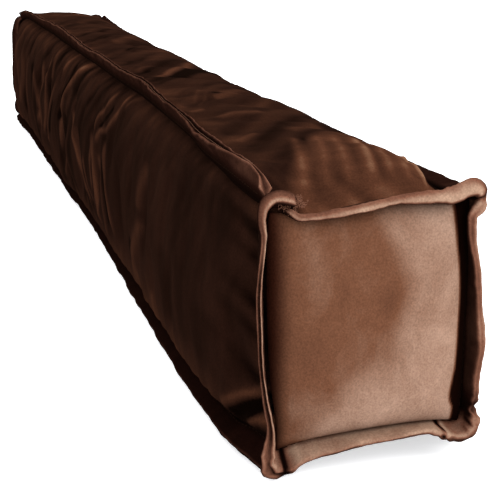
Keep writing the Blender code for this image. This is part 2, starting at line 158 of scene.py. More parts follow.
# The same columns as those of the near flange, all the way round.
FAR_FLANGE = (
    (0.0, 10.0, 3.2, 1.5, 1.3), (0.06, 10.5, 1.2, 1.0, 1.0), (0.3, 11.0, 0.6, 1.0, 1.0),
    (0.6, 10.5, 0.8, 1.0, 1.0), (0.9, 11.0, 2.0, 1.0, 1.1), (1.0, 9.5, 4.0, 1.5, 1.5),
    (1.2, 11.0, 4.5, 1.5, 1.0), (1.6, 11.0, 3.5, 1.5, 1.0), (1.9, 10.5, 4.5, 1.5, 1.1),
    (2.0, 9.5, 5.0, 1.5, 1.4), (2.15, 11.0, 2.0, 1.5, 1.0), (2.6, 11.5, 1.5, 1.5, 1.0),
    (2.9, 10.5, 3.5, 1.5, 1.1), (3.0, 9.5, 7.0, 1.5, 1.4), (3.09, 10.5, 5.0, 1.5, 1.0),
    (3.14, 11.0, 3.4, 1.2, 0.9), (3.2, 10.5, 6.0, 1.5, 1.0), (3.4, 10.0, 7.4, 1.5, 1.1),
    (3.6, 10.5, 6.6, 1.5, 1.0), (3.9, 10.0, 6.0, 1.5, 1.2), (4.0, 10.0, 3.2, 1.5, 1.3),
)

# Half of a flange's outline, from the root that is sewn into the seam to the groove between its
# two lips: share of the way to the rim, and how far it stands off the middle.
FLANGE_OUTLINE = (
    (-0.30, 0.8), (-0.05, 1.0), (0.28, 0.7), (0.52, 1.0), (0.78, 1.35),
    (0.93, 1.45), (1.01, 1.15), (0.99, 0.66), (0.87, 0.04),
)
ROUND_RIM = (1.03, 1.045, 1.055)  # the last three shares where a rim has no groove
OUTLINE_STEPS = 13  # points that half an outline is read at
FLANGE_REACH = 11.0  # how far a flange usually stands out
SWELL_FROM = 0.3  # the share past which a flange takes on its own thickness
SWELL_SPAN = 0.5  # the stretch over which it does
FOOT_OUT = 0.8  # how far the foot of a long flange stands off its seam
FOOT_IN = 1.3  # how far behind the seam of its panel the foot of an end flange starts
CORNER_TURN = 0.07  # the turn to each side of a corner over which an end flange swings round
SEAM_WINDOW = 0.035  # the turn to each side over which its seam is evened out
WINDOW_STEPS = 7  # places that are averaged over that
SEAM_FLAT = 0.05  # points this near the plane of an end panel's seam are on it
LONG_STOP = 1.0  # how far short of the end panels the long flanges stop
ROUND_END = 3.0  # the last stretch of an open flange, which closes to its middle
ROUND_TO = 0.45  # where that middle is, as a share of the reach
SPREAD_END = 0.8  # that stretch on the top front flange, whose two plies spread at their ends
FORWARD_END = 9.0  # how far the rim of the bottom front flange runs on to meet the end flange
FORWARD_X = (462, 490)
LONG_SEED, SEED_STEP = 100, 20  # seeds of the long flanges' uneven lines
NEAR_SEED, FAR_SEED = 1, 41

# Uneven lines along a flange, each from rows of height, pitch and seed: how its rim sways and
# rises, how its lips pucker and lift on either side, and how their painted light varies.
RIM_SWAY = ((0.6, 34.0, 0), (0.3, 14.0, 1))
RIM_RISE = ((0.4, 24.0, 2), (0.15, 8.0, 3))
RIM_CALM = 25.0  # how far from an open end they are at their full height
PUCKERS = ((0.08, 1.7, 4), (0.14, 4.5, 8))
LIFTS = ((0.03, 9.0, 12), (0.008, 2.6, 16))
LIP_CALM = 6.0
LIP_LIGHT = ((0.12, 9.0, 60), (0.08, 2.2, 61))

PLEAT_PITCH = 4.4  # from one pleat to the next where a flange turns a corner
PLEAT_REACH = 6.0  # how far along the flange the pleats of a corner go
# How deep the near flange's pleats are, by turn.
PLEATS = {1.93: 0.5, 2: 0.3, 2.13: 0.3, 3.01: 0.45}

# The sewing: where each row lies on a flange, as a share of its reach and a stand-off from its
# middle, how much of its pitch a stitch fills, and how far from the end the seam stitches stop,
# which is twice as far on the long flanges, whose sections are twice as far apart.
SEAM_STITCH_SHARE = 0.92
SEAM_STITCH_FILL = 0.55
SEAM_STITCH_STOP = 14
TOPSTITCH_SHARE = 0.08
TOPSTITCH_HALF = 0.85
TOPSTITCH_FILL = 0.75

# Groups of frayed threads on the near flange: where they start, how many, how far they go along
# the length, across and up, and how far those of one group differ.
FRAYED = (
    (4.126, 26, (0.2, 0.6, -0.5), 0.8), (4.11, 12, (0.2, 0.8, 0.6), 0.7),
    (4.08, 10, (-0.1, 0.4, 0.8), 0.6), (4.03, 6, (-0.2, -0.3, 0.7), 0.5),
    (0.074, 16, (0.4, -0.6, 0.5), 0.8), (0.10, 6, (0.3, 0.2, 0.8), 0.6),
)
FRAY_SEED = 70
FRAY_WIDTH = 1.6  # how far from there the threads of a group start
FRAY_SHARES = (0.75, 1.0)  # between which shares of the reach they do
FRAY_TWIST = (3, 9)  # how far round a thread curls, in radians
FRAY_CURL = (0.3, 1.0)  # how wide it curls, against how far its group differs
FRAY_POINTS = 9
FRAY_THICKNESS = 0.6  # against the sewing thread

# The folds of the long panels, as the photo shows them: rise, width, the painted light along the
# fold, painted shade where it is below zero, and the places that its line goes through. A place on
# the front is x and z, and one on the top x and y. A trough has a rise below zero.
FRONT_FOLDS = (
    # the long fold that runs from the top seam far back and down
    (1.1, 2.8, 0.42, (66, 111), (38, 107.5), (12, 101.5), (-8, 94), (-22, 85), (-33, 75),
     (-43, 63), (-48, 50), (-49, 37)),
    (0.5, 5.0, 0.1, (8, 93), (-3, 81.5), (-18, 68)),
    (-0.8, 3.2, -0.12, (-14, 104.5), (-26, 91.5), (-42, 74), (-54, 60)),
    (0.52, 1.6, 0.19, (-5, 109), (-36.5, 107), (-55, 100.5), (-64, 94.5)),
    (0.65, 2.4, 0.19, (-119.5, 109), (-123.5, 105), (-110.5, 93), (-109, 85)),
    (0.91, 2.4, 0.3, (-84.5, 88), (-100.5, 75), (-115.5, 62.5), (-124, 51), (-121.5, 40.5),
     (-143, 25.5)),
    (0.91, 2.6, 0.27, (-157, 99), (-138.5, 86.5), (-145, 71.5), (-153.5, 53.5), (-159.5, 44.5),
     (-176, 29.5)),
    (-0.78, 2.4, -0.14, (-119, 81.5), (-126, 70.5), (-142, 49), (-155, 34)),
    (-0.78, 2.4, -0.14, (-87.5, 73), (-101, 65), (-109, 52), (-109.5, 41.5)),
    (0.91, 2.4, 0.23, (-191.5, 94.5), (-186, 81), (-182.5, 66), (-177.5, 47), (-190.5, 32.5)),
    (-0.78, 2.2, -0.14, (-197, 78), (-194, 60.5), (-191, 47), (-200, 35.5)),
    (0.78, 3.0, 0.18, (-236, 83.5), (-226.5, 73), (-215, 56.5), (-207, 47), (-216.5, 34)),
    (-0.65, 5.0, -0.08, (-267.5, 86.5), (-252, 68), (-244, 47)),
    (0.65, 2.0, 0.22, (-34, 73), (-36, 58.5), (-33.5, 47), (-36, 28), (-31.5, 21)),
    (0.91, 7.0, 0.14, (-412, 94.5), (-387.5, 73), (-367.5, 49), (-383.5, 29.5)),
    (0.78, 5.0, 0.11, (-357, 90), (-341, 63), (-369.5, 34)),
    (0.65, 5.0, 0.07, (-338.5, 94.5), (-305, 68), (-307.5, 35.5)),
    # the fan of thin folds half way
    (0.75, 2.2, 0.3, (22, 82), (32, 71.5), (42, 59), (48, 47), (62, 33), (86, 22)),
    (0.35, 4.0, 0.1, (40, 73), (51, 62), (56, 52)),
    (-0.45, 1.8, -0.09, (50, 66), (58, 54), (66, 44)),
    (0.65, 1.6, 0.28, (64, 60), (72, 50), (86, 38), (104, 24)),
    (0.6, 1.6, 0.25, (76, 62), (86, 51), (98, 40), (114, 27)),
    (0.6, 1.6, 0.25, (94, 61), (102, 51), (112, 41), (126, 28)),
    (-0.5, 1.4, -0.12, (58, 55), (67, 45), (78, 35), (93, 25)),
    (-0.5, 1.4, -0.12, (72, 57), (80, 46), (92, 36), (108, 26)),
    (-0.5, 1.4, -0.12, (86, 59), (94, 49), (105, 39), (118, 29)),
    (0.59, 1.6, 0.22, (121.5, 81.5), (124, 69.5), (123.5, 61.5), (128, 52), (131.5, 41.5)),
    (0.85, 2.2, 0.34, (129.5, 84), (132, 70.5), (135, 58), (141, 44.5), (147, 34), (154, 23)),
    (-0.65, 1.2, -0.16, (131, 68), (130, 58.5), (133, 49), (133.5, 37)),
    (0.65, 1.4, 0.27, (165, 104.5), (150, 95.5), (138, 90.5), (133, 81)),
    (0.78, 1.8, 0.32, (202.5, 109), (191, 98.5), (171.5, 88), (148.5, 83.5), (137.5, 74)),
    (-0.52, 1.2, -0.14, (173, 98.5), (166, 94.5), (143, 85)),
    (0.39, 1.6, 0.14, (231, 108.5), (212.5, 105), (203, 100.5)),
    (0.59, 2.0, 0.2, (146.5, 70.5), (149, 62.5), (162.5, 49), (171.5, 31), (175, 21)),
    (-0.52, 1.6, -0.11, (159, 71.5), (164.5, 61.5), (180, 41.5), (184, 31)),
    (0.8, 2.2, 0.29, (171.5, 82.5), (170, 70), (175, 60), (187, 45), (201.5, 27)),
    (0.52, 3.2, 0.14, (301, 90.5), (289.5, 78), (283.5, 69.5), (283.5, 61.5)),
    (0.65, 4.0, 0.22, (292, 58.5), (279, 49), (268, 39.5), (260, 27), (269, 16)),
    (-0.52, 1.8, -0.11, (256.5, 41.5), (249.5, 34), (248, 25.5)),
    (0.26, 3.0, 0.16, (259.5, 18.5), (303.5, 12), (352, 10.5), (403, 12), (450.5, 13.5)),
    (0.33, 1.4, 0.14, (316, 28), (318.5, 16), (331, 12)),
    (0.39, 1.4, 0.18, (366, 24), (372, 16), (389, 12)),
    (0.52, 8.0, 0.04, (336, 97), (339, 76.5), (349, 53)),
    (0.52, 8.0, 0.03, (419, 94), (437, 70.5), (435.5, 47)),
    # the hollow by the lower near corner
    (1.6, 2.0, 0.32, (449, 15.5), (462, 21), (475, 27), (485, 32), (498, 37)),
    (-3.2, 2.2, -0.54, (456.5, 13), (466, 16), (476, 22), (490, 28), (500, 33)),
    (1.6, 1.8, 0.27, (470, 13), (480, 17), (490, 21), (500, 25)),
)
TOP_FOLDS = (
    # broad soft folds across the top
    (0.39, 10.6, 0.06, (-501, 42.5), (-377, 7.5), (-361.5, -11), (-375.5, -28.5)),
    (0.44, 5.3, 0.06, (-216, 33), (-142, 19.5), (-89, 0), (-78.5, -11)),
    (-0.39, 3.4, -0.03, (-64.5, 10), (-28, 0), (-5, -7.5), (13, -14)),
    (0.29, 6.7, 0.04, (-41, 26), (28.5, 10), (61, -2), (79, -11)),
    (0.68, 3.2, 0.13, (51, 31), (92, 13), (125.5, -1), (150, -14), (164, -22)),
    (-0.58, 4.5, -0.05, (88.5, 22.5), (122, 10), (147, -3.5), (163, -15.5)),
    (0.34, 2.6, 0.06, (105, -11), (111, -15.5), (116.5, -21), (126, -28)),
    (-0.34, 2.4, -0.04, (127, -18.5), (133, -24), (133.5, -31)),
    (0.39, 3.4, 0.08, (229, 21), (243, 7.5), (253.5, -4.5)),
    (0.39, 3.9, 0.1, (265, 4), (273, -4.5), (277.5, -13)),
    (-0.29, 2.6, -0.04, (247, 13), (263, -2), (269, -12)),
    (0.29, 3.9, 0.05, (275.5, 19.5), (304, 2.5), (305.5, -8.5)),
    (0.44, 3.4, 0.1, (329.5, 1.5), (333, -7.5), (335, -16.5), (343.5, -28.5)),
    (0.39, 2.4, 0.08, (393, -20.5), (400.5, -26), (407.5, -32.5)),
    (0.29, 2.1, 0.08, (313.5, -26), (317, -30.5), (318, -35)),
    (0.39, 3.9, 0.1, (367, 19.5), (384.5, 5), (396.5, -6.5)),
    (0.17, 1.1, 0.04, (250, -14), (270.5, -20.5), (288.5, -26)),
    (0.17, 1.1, 0.04, (259.5, -12), (284.5, -19.5), (304, -27)),
    # thin gathers that fan out from the near end
    (0.42, 2.1, 0.15, (412, -9), (440, -15.5), (462, -20), (478, -23.5)),
    (0.35, 1.8, 0.09, (405, 3), (438, -4.5), (460, -10), (478, -14.5)),
    (0.35, 1.8, 0.11, (400, 13), (436, 4), (460, -1.5), (478, -5.5)),
    (0.56, 2.2, 0.21, (388, 26), (428, 16.5), (455, 10), (478, 5)),
    (0.42, 2.0, 0.14, (402, 31), (438, 22), (460, 16.5), (478, 13)),
    (0.35, 2.0, 0.12, (413, 37), (445, 28), (462, 23), (478, 20)),
    (-0.35, 1.8, -0.05, (408, -3), (440, -10.5), (461, -15.5), (478, -19)),
    (-0.28, 1.6, -0.03, (402, 8), (437, -0.5), (460, -6), (478, -10)),
    (-0.42, 1.8, -0.06, (394, 19), (432, 10), (457, 4), (478, 0)),
    (-0.42, 1.7, -0.06, (395, 28), (434, 19), (458, 13), (478, 9)),
    (1.6, 1.2, 0.4, (413, 41.5), (431.5, 34), (449, 30.5), (461, 29.5), (478, 28)),
    (-2.4, 3.0, -0.6, (412.5, 48.5), (438, 41), (460, 36.5), (477, 33)),
    # where the back seam pulls the top down
    (-2.0, 4.0, 0, (-152, 54.5), (-141, 42.5), (-95, 26)),
    (-2.6, 4.0, 0, (39.5, 54.5), (47, 42.5), (91, 24)),
    (-1.6, 3.0, 0, (209.5, 52.5), (216.5, 40), (253, 22.5)),
)
Fold = namedtuple("Fold", "panel rise width light line")
FOLDS = [Fold("front", *row[:3], row[3:]) for row in FRONT_FOLDS]
FOLDS += [Fold("top", *row[:3], row[3:]) for row in TOP_FOLDS]

PANEL_WAYS = {"front": (1, -1), "top": (2, 1)}  # the axis that a panel faces along, and which way
FOLD_AXES = {"front": [0, 2], "top": [0, 1]}  # the two axes that its folds are drawn in
FOLD_STRETCH = {"front": 0.45, "top": 0.6}  # folds look drawn out in x, which counts for less
FOLD_POINTS = 4  # points that each stretch of a fold's line is read at
FOLD_REACH = 3  # how many widths from its line a fold is worked out
FOLD_FADE = 0.16  # the share of its line over which a fold fades out at each end
FOLD_LIT = 0.8  # how wide the painted light on a fold is against the fold
RIDGE_POWER = 1.5  # 2 makes a fold round, and 1 makes it sharp

# Where the cloth is cut finer: on the top past an x, and on folds narrower than a width where
# they have more than a share of their rise. A face is on the top if it points up and not along
# the length by these cosines, and on a fold if it also faces its panel's way by more than this.
FINE_FROM = 395
FINE_UP, FINE_ALONG = 0.3, 0.5
FINE_WIDTH = 4
FINE_SHARE = 0.2
FINE_FACING = 0.1

# The filling in the simulation. The grip on the cloth is this at its seams and less by 1 for each
# fade away from them, and where it is 1 or more the cloth is held fast.
GRIP = 1.6
GRIP_FADE = 6.0
SWELL_FRAMES = 20
EVEN_SHARE = 0.85  # how much of the even part of the swelling is left out afterwards
EVEN_ROUNDS = 14  # rounds of averaging that find the even part

# From here on, a pair of places is where something begins and where it is whole.

# Where the filling presses the top front seam from its place in the solid: x, back, up.
SEAM_SHIFT = (
    (-490, 1.0, 2.0), (-440, 4.0, 5.5), (-100, 4.4, 7.0), (200, 4.4, 7.0), (260, 3.0, 7.0),
    (310, 1.5, 7.0), (360, -0.5, 7.0), (400, -3.6, 6.5), (450, -3.4, 6.0), (490, -0.5, 3.5),
)
SHIFT_WIDTH = 13.0
BACK_DROP = 2.2  # how far the near end of the top back seam lies below its place in the solid
BACK_DROP_X, BACK_DROP_Y, BACK_DROP_Z = (415, 465), (22, 36), (85, 97)
LOW_RISE = (1.0, 3.0)  # how far the near end of the bottom front seam lies back and up from its own
LOW_RISE_X = (455, 475)
# How far the filling bulges beside each long seam, and how far from the seam it does so most.
SHOULDERS = {"top_front": 2.2, "top_back": 1.4, "low_front": 3.2, "low_back": 1.0}
SHOULDER_AT = 6.0
HELD_BY_SEAM = 9.0  # how far from a seam folds and gathers have their full height
HELD_BY_END = 3.0

# Faint wisps on the front, which bow round a height, and on the top, where they slant. Their
# uneven lines are rows of height, pitch and seed, as are those of the gathers and pleats.
FRONT_WISPS = ((1.0, 13.0, 31), (0.7, 5.0, 32))
WISP_LEVEL = 47
WISP_BOW = 0.016
NEAR_WISPS = 0.4  # how strong they are by the near end, then how much the far part adds
FAR_WISPS = 0.6
WISPS_GROW_X, WISPS_GROW_Z = (200, 40), (70, 30)
TOP_WISPS = ((1.0, 16.0, 34), (0.7, 6.0, 35))
TOP_WISPS_SHARE = 0.35
WISP_SLANT = 1.8
WISP_SWAY = ((5, 15.0, 33),)
WISP_RISE = 0.25
WISP_LIGHT = 0.03
# Gathers along the seams, weaker by the floor.
GATHERS = ((1.0, 12.0, 11), (0.6, 6.0, 12))
GATHER_RISE = 0.4
GATHER_REACH = 14.0
LOW_GATHERS = 0.3
GATHERS_GROW_Z = (30, 60)
# Pleats round the run where it meets its end panels, with painted light on their ridges and painted
# shade in their hollows.
END_PLEATS = ((1.0, 6.0, 13), (0.5, 3.4, 14))
END_PLEAT_RISE = 0.35
END_PLEAT_LIGHT = 0.10
END_PLEAT_REACH = 15.0

# Painted light and shade, with a little pile tone, kept on each point: 0 is the painted shade of a
# tight crease, where no light comes out, 1 the most painted light; between them the shaded and
# half-lit colours are whole.
SHADED_STOP = 0.05
HALF_LIT_STOP = 0.4
PAINTED_LIGHT_WAY = (0.62, 0.15, 0.76)  # the way that the painted light comes from
PAINTED_LIGHT_FACES = (-0.1, 0.85)  # between which cosines to that way a point goes from painted shade to painted light
PANEL_FACES = (0.25, 0.65)  # between which cosines a point comes to face the way of its panel

# Painted light along the run, darker on its front than on its top: x, on its front, on its top.
RUN_LIGHT = (
    (-490, 0.10, 0.07), (-400, 0.10, 0.065), (-310, 0.06, 0.05), (-100, 0.055, 0.035),
    (40, 0.05, 0.04), (100, 0.055, 0.025), (180, 0.055, 0.03), (260, 0.06, 0.05),
    (350, 0.06, 0.04), (490, 0.06, 0.035),
)
HIDDEN_SHARE = 0.4  # the painted light of the back and the bottom, as a share of that of the top
# On the top by the near end there is more painted light behind this line: x, y.
TOP_LIGHT_LINE = ((360, 40), (391, 9), (430, -13), (450, -22), (463, -28), (490, -34))
TOP_LIGHT = 0.15
TOP_LIGHT_EDGE = (0, 7)
TOP_LIGHT_X = (360, 420)
# Along the bottom front seam, a band of painted light: how much, how far from the seam, how wide.
LOW_LIGHT = 0.15
LOW_LIGHT_AT = 8
LOW_LIGHT_WIDTH = 9
LOW_LIGHT_FAR = 0.35  # its share along the far half
LOW_LIGHT_GROWS_X, LOW_LIGHT_ENDS_X = (20, 180), (470, 430)
LOW_LIGHT_WAVER = ((0.35, 9.0, 36),)
# Soft patches on the front: x, height, size along, size up, how much each lightens it.
FRONT_PATCHES = (
    (285, 27, 50, 16, 0.07), (-430, 40, 45, 22, 0.04), (-20, 60, 60, 25, -0.02),
    (200, 80, 50, 20, -0.015),
)
SEAM_DARK = 0.2  # painted shade: the share of painted light left in a seam, and how far from it that is whole again
SEAM_DARK_WIDTH = 7.0
AWAY_GAIN, FACING_GAIN = 0.5, 1.1  # painted light by facing: its scale where a point faces away, and what facing the light adds

# Painted light on an end panel's back part: height, and where across it the lighter part begins there.
END_LIGHT_LINE = (
    (0, -30), (20, -24), (34, -14), (46, -4), (56, 3), (64, 8), (74, 10), (84, 8), (92, 6), (112, 3),
)
END_LIGHT_WAVER = ((2.5, 9.0, 51),)
END_LIGHT = 0.40  # the painted light before that line, then what is added past it and between which places
END_STEPS = ((0.19, -7, 7), (0.27, -4, 30))
# Soft patches on an end panel: across, height, size across, size up, how much each lightens it.
END_PATCHES = (
    (4, 70, 8, 9, -0.06), (-2, 88, 9, 8, -0.05), (-16, 56, 12, 10, -0.03), (-27, 88, 4, 22, 0.06),
    (-22, 26, 16, 9, 0.08), (20, 26, 18, 12, -0.04), (24, 94, 12, 6, 0.07), (-30, 44, 6, 12, -0.03),
    (8, 48, 8, 6, -0.02), (28, 66, 8, 22, 0.02), (-34, 66, 5, 20, -0.05),
)
# Where painted shade darkens an end panel by its back edge, for the shadowed gap there: height,
# across.
END_EDGE = (
    (0, 34), (20, 34.8), (25, 32.8), (30, 32.7), (40, 34.2), (60, 34.6), (70, 34.8), (80, 34.2),
    (90, 33.0), (100, 32.2), (110, 32.0),
)
# Painted shade at an end panel's edges: how far in from each the light starts and is whole, and its
# share at the front one.
END_FRONT_DARK, END_BACK_DARK, END_FOOT_DARK, END_TOP_DARK = (1.5, 10), (-0.8, 0.8), (-1, 6), (-2, 4)
END_FRONT_LEFT = 0.12

# Painted light on a long flange and on the far one: along its lips, on its sides against them, the
# share that faces turned from the light keep, and how much more its near end has.
FLANGE_TONES = {
    "end_far": (0.4, 0.8, 0.6, 0), "top_front": (0.26, 0.5, 0.45, 0.9),
    "top_back": (0.12, 0.5, 0.3, 0), "low_front": (0.15, 0.22, 0.4, 0),
    "low_back": (0.08, 0.5, 0.4, 0),
}
NEAR_END_SHARES = (0.93, 0.99)  # the stretch of a long flange where its near end begins
NEAR_END_GROOVE = 0.4  # how much of the groove's painted shade it loses there
NEAR_LEAST = 0.1  # the share of painted light that faces turned from the light keep on the near flange
BACK_LEAST = 0.25  # the painted light added to that along the flange's upright by the back
BACK_LEAST_Y, BACK_LEAST_TOP, BACK_LEAST_FOOT = (36, 45), (100, 90), (18, 28)
FAR_LEAN = -0.75  # the far flange's lip next to its panel gets more painted light than the other
CREST_SHARES = (0.93, 0.99)  # where the painted light on the lips begins and is whole, as shares of the reach
FOOT_SHARE = -0.1  # where the painted shade at a flange's foot begins, then how far up it goes
DARK_FOOT = 0.3
SPREAD_DARK_FOOT = 0.75  # the same on the top front flange
GROOVE_FROM = 0.82  # the share past which points near the middle are in the groove
GROOVE_HALVES = (1.05, 0.7)  # the stand-offs where the groove's painted shade begins and is whole
GROOVE_SHADE = 0.95  # how much painted light the groove's painted shade takes, then that of the near flange
NEAR_GROOVE_SHADE = 0.7

# ---------------------------------------------------------------- settings


def from_hex(text):
    """Linear red, green and blue of an sRGB colour written as hex."""
    parts = [int(text[i:i + 2], 16) / 255 for i in (1, 3, 5)]
    return tuple(p / 12.92 if p <= 0.04045 else ((p + 0.055) / 1.055) ** 2.4 for p in parts)


def colour_property(name, description, text):
    return bpy.props.FloatVectorProperty(
        name=name, description=description, default=from_hex(text), size=3, subtype="COLOR",
        min=0.0, max=1.0,
    )


def length_property(name, description, default):
    return bpy.props.FloatProperty(
        name=name, description=description, default=default, unit="LENGTH", precision=5, min=0.0,
    )


class ExcluderSizes(bpy.types.PropertyGroup):
    """Sizes of the cloth, the filling and the sewing."""

    cloth_grid: length_property("Cloth grid", "Spacing of the run's cloth in the simulation", 0.0050)
    most_swell: length_property("Most swell", "How far the filling may push the cloth", 0.0025)
    pressure: bpy.props.FloatProperty(
        name="Pressure", description="Push of the filling in the simulation", default=4.0, min=0.0,
    )
    spare_cloth: bpy.props.FloatProperty(
        name="Spare cloth", description="Share of cloth over what the filling needs",
        default=0.015, subtype="FACTOR", min=0.0, max=0.2,
    )
    section_step: length_property("Section step", "Spacing of a flange's sections", 0.0008)
    stitch_pitch: length_property("Stitch pitch", "From one topstitch to the next", 0.0034)
    seam_pitch: length_property("Seam pitch", "From one seam stitch to the next", 0.0024)
    thread: length_property("Thread", "Thickness of the sewing thread", 0.0004)
    pile_grain: length_property("Pile grain", "Size of the tufts that the pile shows", 0.0008)
    nap_patch: length_property("Nap patch", "Size of the places where the pile lies over", 0.030)


class ExcluderColours(bpy.types.PropertyGroup):
    """Colours of the velvet, the thread and the studio."""

    # Each velvet has a shaded, a half-lit and a lit colour, which painted light and shade pick
    # between.
    run_deep: colour_property("Run, pile away", "Long panels where the pile points away", "#1c0e09")
    run_mid: colour_property("Run, pile up", "Long panels where the pile stands", "#44281b")
    run_lit: colour_property("Run, pile over", "Long panels where the pile lies over", "#74543f")
    end_deep: colour_property("End, pile away", "End panels where the pile points away", "#26110a")
    end_mid: colour_property("End, pile up", "End panels where the pile stands", "#573828")
    end_lit: colour_property("End, pile over", "End panels where the pile lies over", "#8c7161")
    edge_deep: colour_property("Flange, pile away", "Flanges where the pile points away", "#170906")
    edge_mid: colour_property("Flange, pile up", "Flanges where the pile stands", "#613f31")
    edge_lit: colour_property("Flange, pile over", "Flanges along their lips", "#8a6f5d")
    thread: colour_property("Thread", "Sewing thread", "#6a4a3a")
    loose_thread: colour_property("Loose thread", "Frayed ends by the open join", "#6d4939")
    floor: colour_property("Floor", "The studio's floor", "#e6e6e7")


# ---------------------------------------------------------------- small helpers


def deselect_all():
    bpy.ops.object.select_all(action="DESELECT")


def pick(piece):
    """Makes one object the only one selected, and the active one."""
    deselect_all()
    piece.select_set(True)
    bpy.context.view_layer.objects.active = piece


def points_of(piece):
    points = np.empty(len(piece.data.vertices) * 3)
    piece.data.vertices.foreach_get("co", points)
    return points.reshape(-1, 3)


def move_points(piece, points):
    piece.data.vertices.foreach_set("co", points.ravel())
    piece.data.update()


def normals_of(piece):
    normals = np.empty(len(piece.data.vertices) * 3)
    piece.data.vertices.foreach_get("normal", normals)
    return normals.reshape(-1, 3)


def unit(vectors):
    return vectors / np.maximum(np.linalg.norm(vectors, axis=-1, keepdims=True), 1e-12)


def smooth_step(t):
    t = np.clip(t, 0, 1)
    return t * t * (3 - 2 * t)


def ramp(values, start, end):
    """0 up to a start and 1 from an end on, with a smooth rise between them."""
    return smooth_step((values - start) / (end - start))


def mound(away, width):
    """1 at no distance, falling smoothly to near 0 past about two widths."""
    return np.exp(-((away / width) ** 2))


def facing_light(piece):
    """Painted light from which way each point faces: 1 toward the light, 0 turned away from it."""
    way = np.array(PAINTED_LIGHT_WAY) / np.linalg.norm(PAINTED_LIGHT_WAY)
    return ramp(normals_of(piece) @ way, *PAINTED_LIGHT_FACES)


def write_painted_light(piece, values):
    """Keeps on each point its painted light and shade, with a little pile tone, for the velvet to
    read.
    """
    nap = piece.data.attributes.get("nap") or piece.data.attributes.new("nap", "FLOAT", "POINT")
    nap.data.foreach_set("value", np.clip(values, 0, 1).astype(np.float32))


def read_painted_light(piece):
    nap = np.empty(len(piece.data.vertices), np.float32)
    piece.data.attributes["nap"].data.foreach_get("value", nap)
    return nap


def apply_modifier(piece, kind, **settings):
    """Adds a modifier with these settings and applies it."""
    pick(piece)
    modifier = piece.modifiers.new(kind.title(), kind)
    for name, value in settings.items():
        setattr(modifier, name, value)
    bpy.ops.object.modifier_apply(modifier=modifier.name)


def finish_piece(piece, material, slot, *nodes):
    """Gives a piece its velvet or thread and its body, and hides the solids that it stands for."""
    piece.data.materials.clear()
    piece.data.materials.append(material)
    pick(piece)
    bpy.ops.object.shade_smooth()
    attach(piece, "root")
    if nodes:
        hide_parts(*nodes)
    deselect_all()


def read_smoothly(rows, places):
    """A table's columns at many places of its first one, on smooth curves through its rows."""
    table = np.array(rows, float)
    keys, values = table[:, 0], table[:, 1:]
    numbers = np.arange(len(keys))
    low, high = np.maximum(numbers - 1, 0), np.minimum(numbers + 1, len(keys) - 1)
    slopes = (values[high] - values[low]) / (keys[high] - keys[low])[:, None]
    places = np.clip(places, keys[0], keys[-1])
    row = np.clip(np.searchsorted(keys, places, side="right") - 1, 0, len(keys) - 2)
    width = (keys[row + 1] - keys[row])[:, None]
    t = (places - keys[row])[:, None] / width
    ends = (2 * t**3 - 3 * t**2 + 1) * values[row] + (3 * t**2 - 2 * t**3) * values[row + 1]
    turns = (t**3 - 2 * t**2 + t) * slopes[row] + (t**3 - t**2) * slopes[row + 1]
    return ends + turns * width


def uneven(places, pitch, seed):
    """A smooth random line between -1 and 1 whose bumps are about a pitch apart."""
    start = places.min() - 2 * pitch
    count = int((places.max() - start) / pitch) + 4
    heights = np.random.default_rng(seed).uniform(-1, 1, count)
    knots = start + pitch * np.arange(count)
    return read_smoothly(np.column_stack((knots, heights)), places)[:, 0]


def uneven_sum(places, rows, seed=0):
    """Uneven lines added up, from the height, pitch and seed of each."""
    return sum(height * uneven(places, pitch, seed + number) for height, pitch, number in rows)


def calm_ends(places, stretch):
    """0 at the two ends of a line and 1 from a stretch inside them."""
    inside = np.minimum(places - places.min(), places.max() - places)
    return smooth_step(inside / stretch)


def patch_light(patches, along, up):
    """What soft patches add, at these places, to the value that picks the velvet's colour."""
    return sum(
        move * mound(along - middle, wide) * mound(up - height, tall)
        for middle, height, wide, tall, move in patches
    )


def merged_copy(node, name):
    """A new object with a solid's mesh, its loose triangles merged into quads."""
    piece = bpy.data.objects.new(name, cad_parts[node].data.copy())
    piece.data.name = name
    bpy.context.scene.collection.objects.link(piece)
    pick(piece)
    bpy.ops.mesh.customdata_custom_splitnormals_clear()
    bpy.ops.object.mode_set(mode="EDIT")
    bpy.ops.mesh.select_all(action="SELECT")
    bpy.ops.mesh.remove_doubles(threshold=MERGE)
    bpy.ops.mesh.tris_convert_to_quads(face_threshold=math.pi, shape_threshold=math.pi)
    bpy.ops.object.mode_set(mode="OBJECT")
    return piece


def add_strip(name, sections, lips, closed):
    """Cloth rolled up through sections of points: a grid, placed point by point and merged."""
    count, around = sections.shape[:2]
    steps = count if closed else count - 1
    deselect_all()
    bpy.ops.mesh.primitive_grid_add(x_subdivisions=steps, y_subdivisions=around, size=1)
    piece = bpy.context.active_object
    piece.name = piece.data.name = name
    flat = points_of(piece) + 0.5
    along = np.rint(flat[:, 0] * steps).astype(int) % count
    round_it = np.rint(flat[:, 1] * around).astype(int) % around
    move_points(piece, sections[along, round_it] * MM)
    write_painted_light(piece, lips[along, round_it])
    bpy.ops.object.mode_set(mode="EDIT")
    bpy.ops.mesh.select_all(action="SELECT")
    bpy.ops.mesh.remove_doubles(threshold=MERGE)
    bpy.ops.mesh.normals_make_consistent(inside=False)
    bpy.ops.object.mode_set(mode="OBJECT")
    return piece


def add_curve(name, kind, line):
    """A curve object of one spline through points in metres."""
    curve = bpy.data.curves.new(name, "CURVE")
    curve.dimensions = "3D"
    spline = curve.splines.new(kind)
    spline.points.add(len(line) - 1)
    spline.points.foreach_set("co", np.column_stack((line, np.ones(len(line)))).ravel())
    drawn = bpy.data.objects.new(name, curve)
    bpy.context.scene.collection.objects.link(drawn)
    return drawn


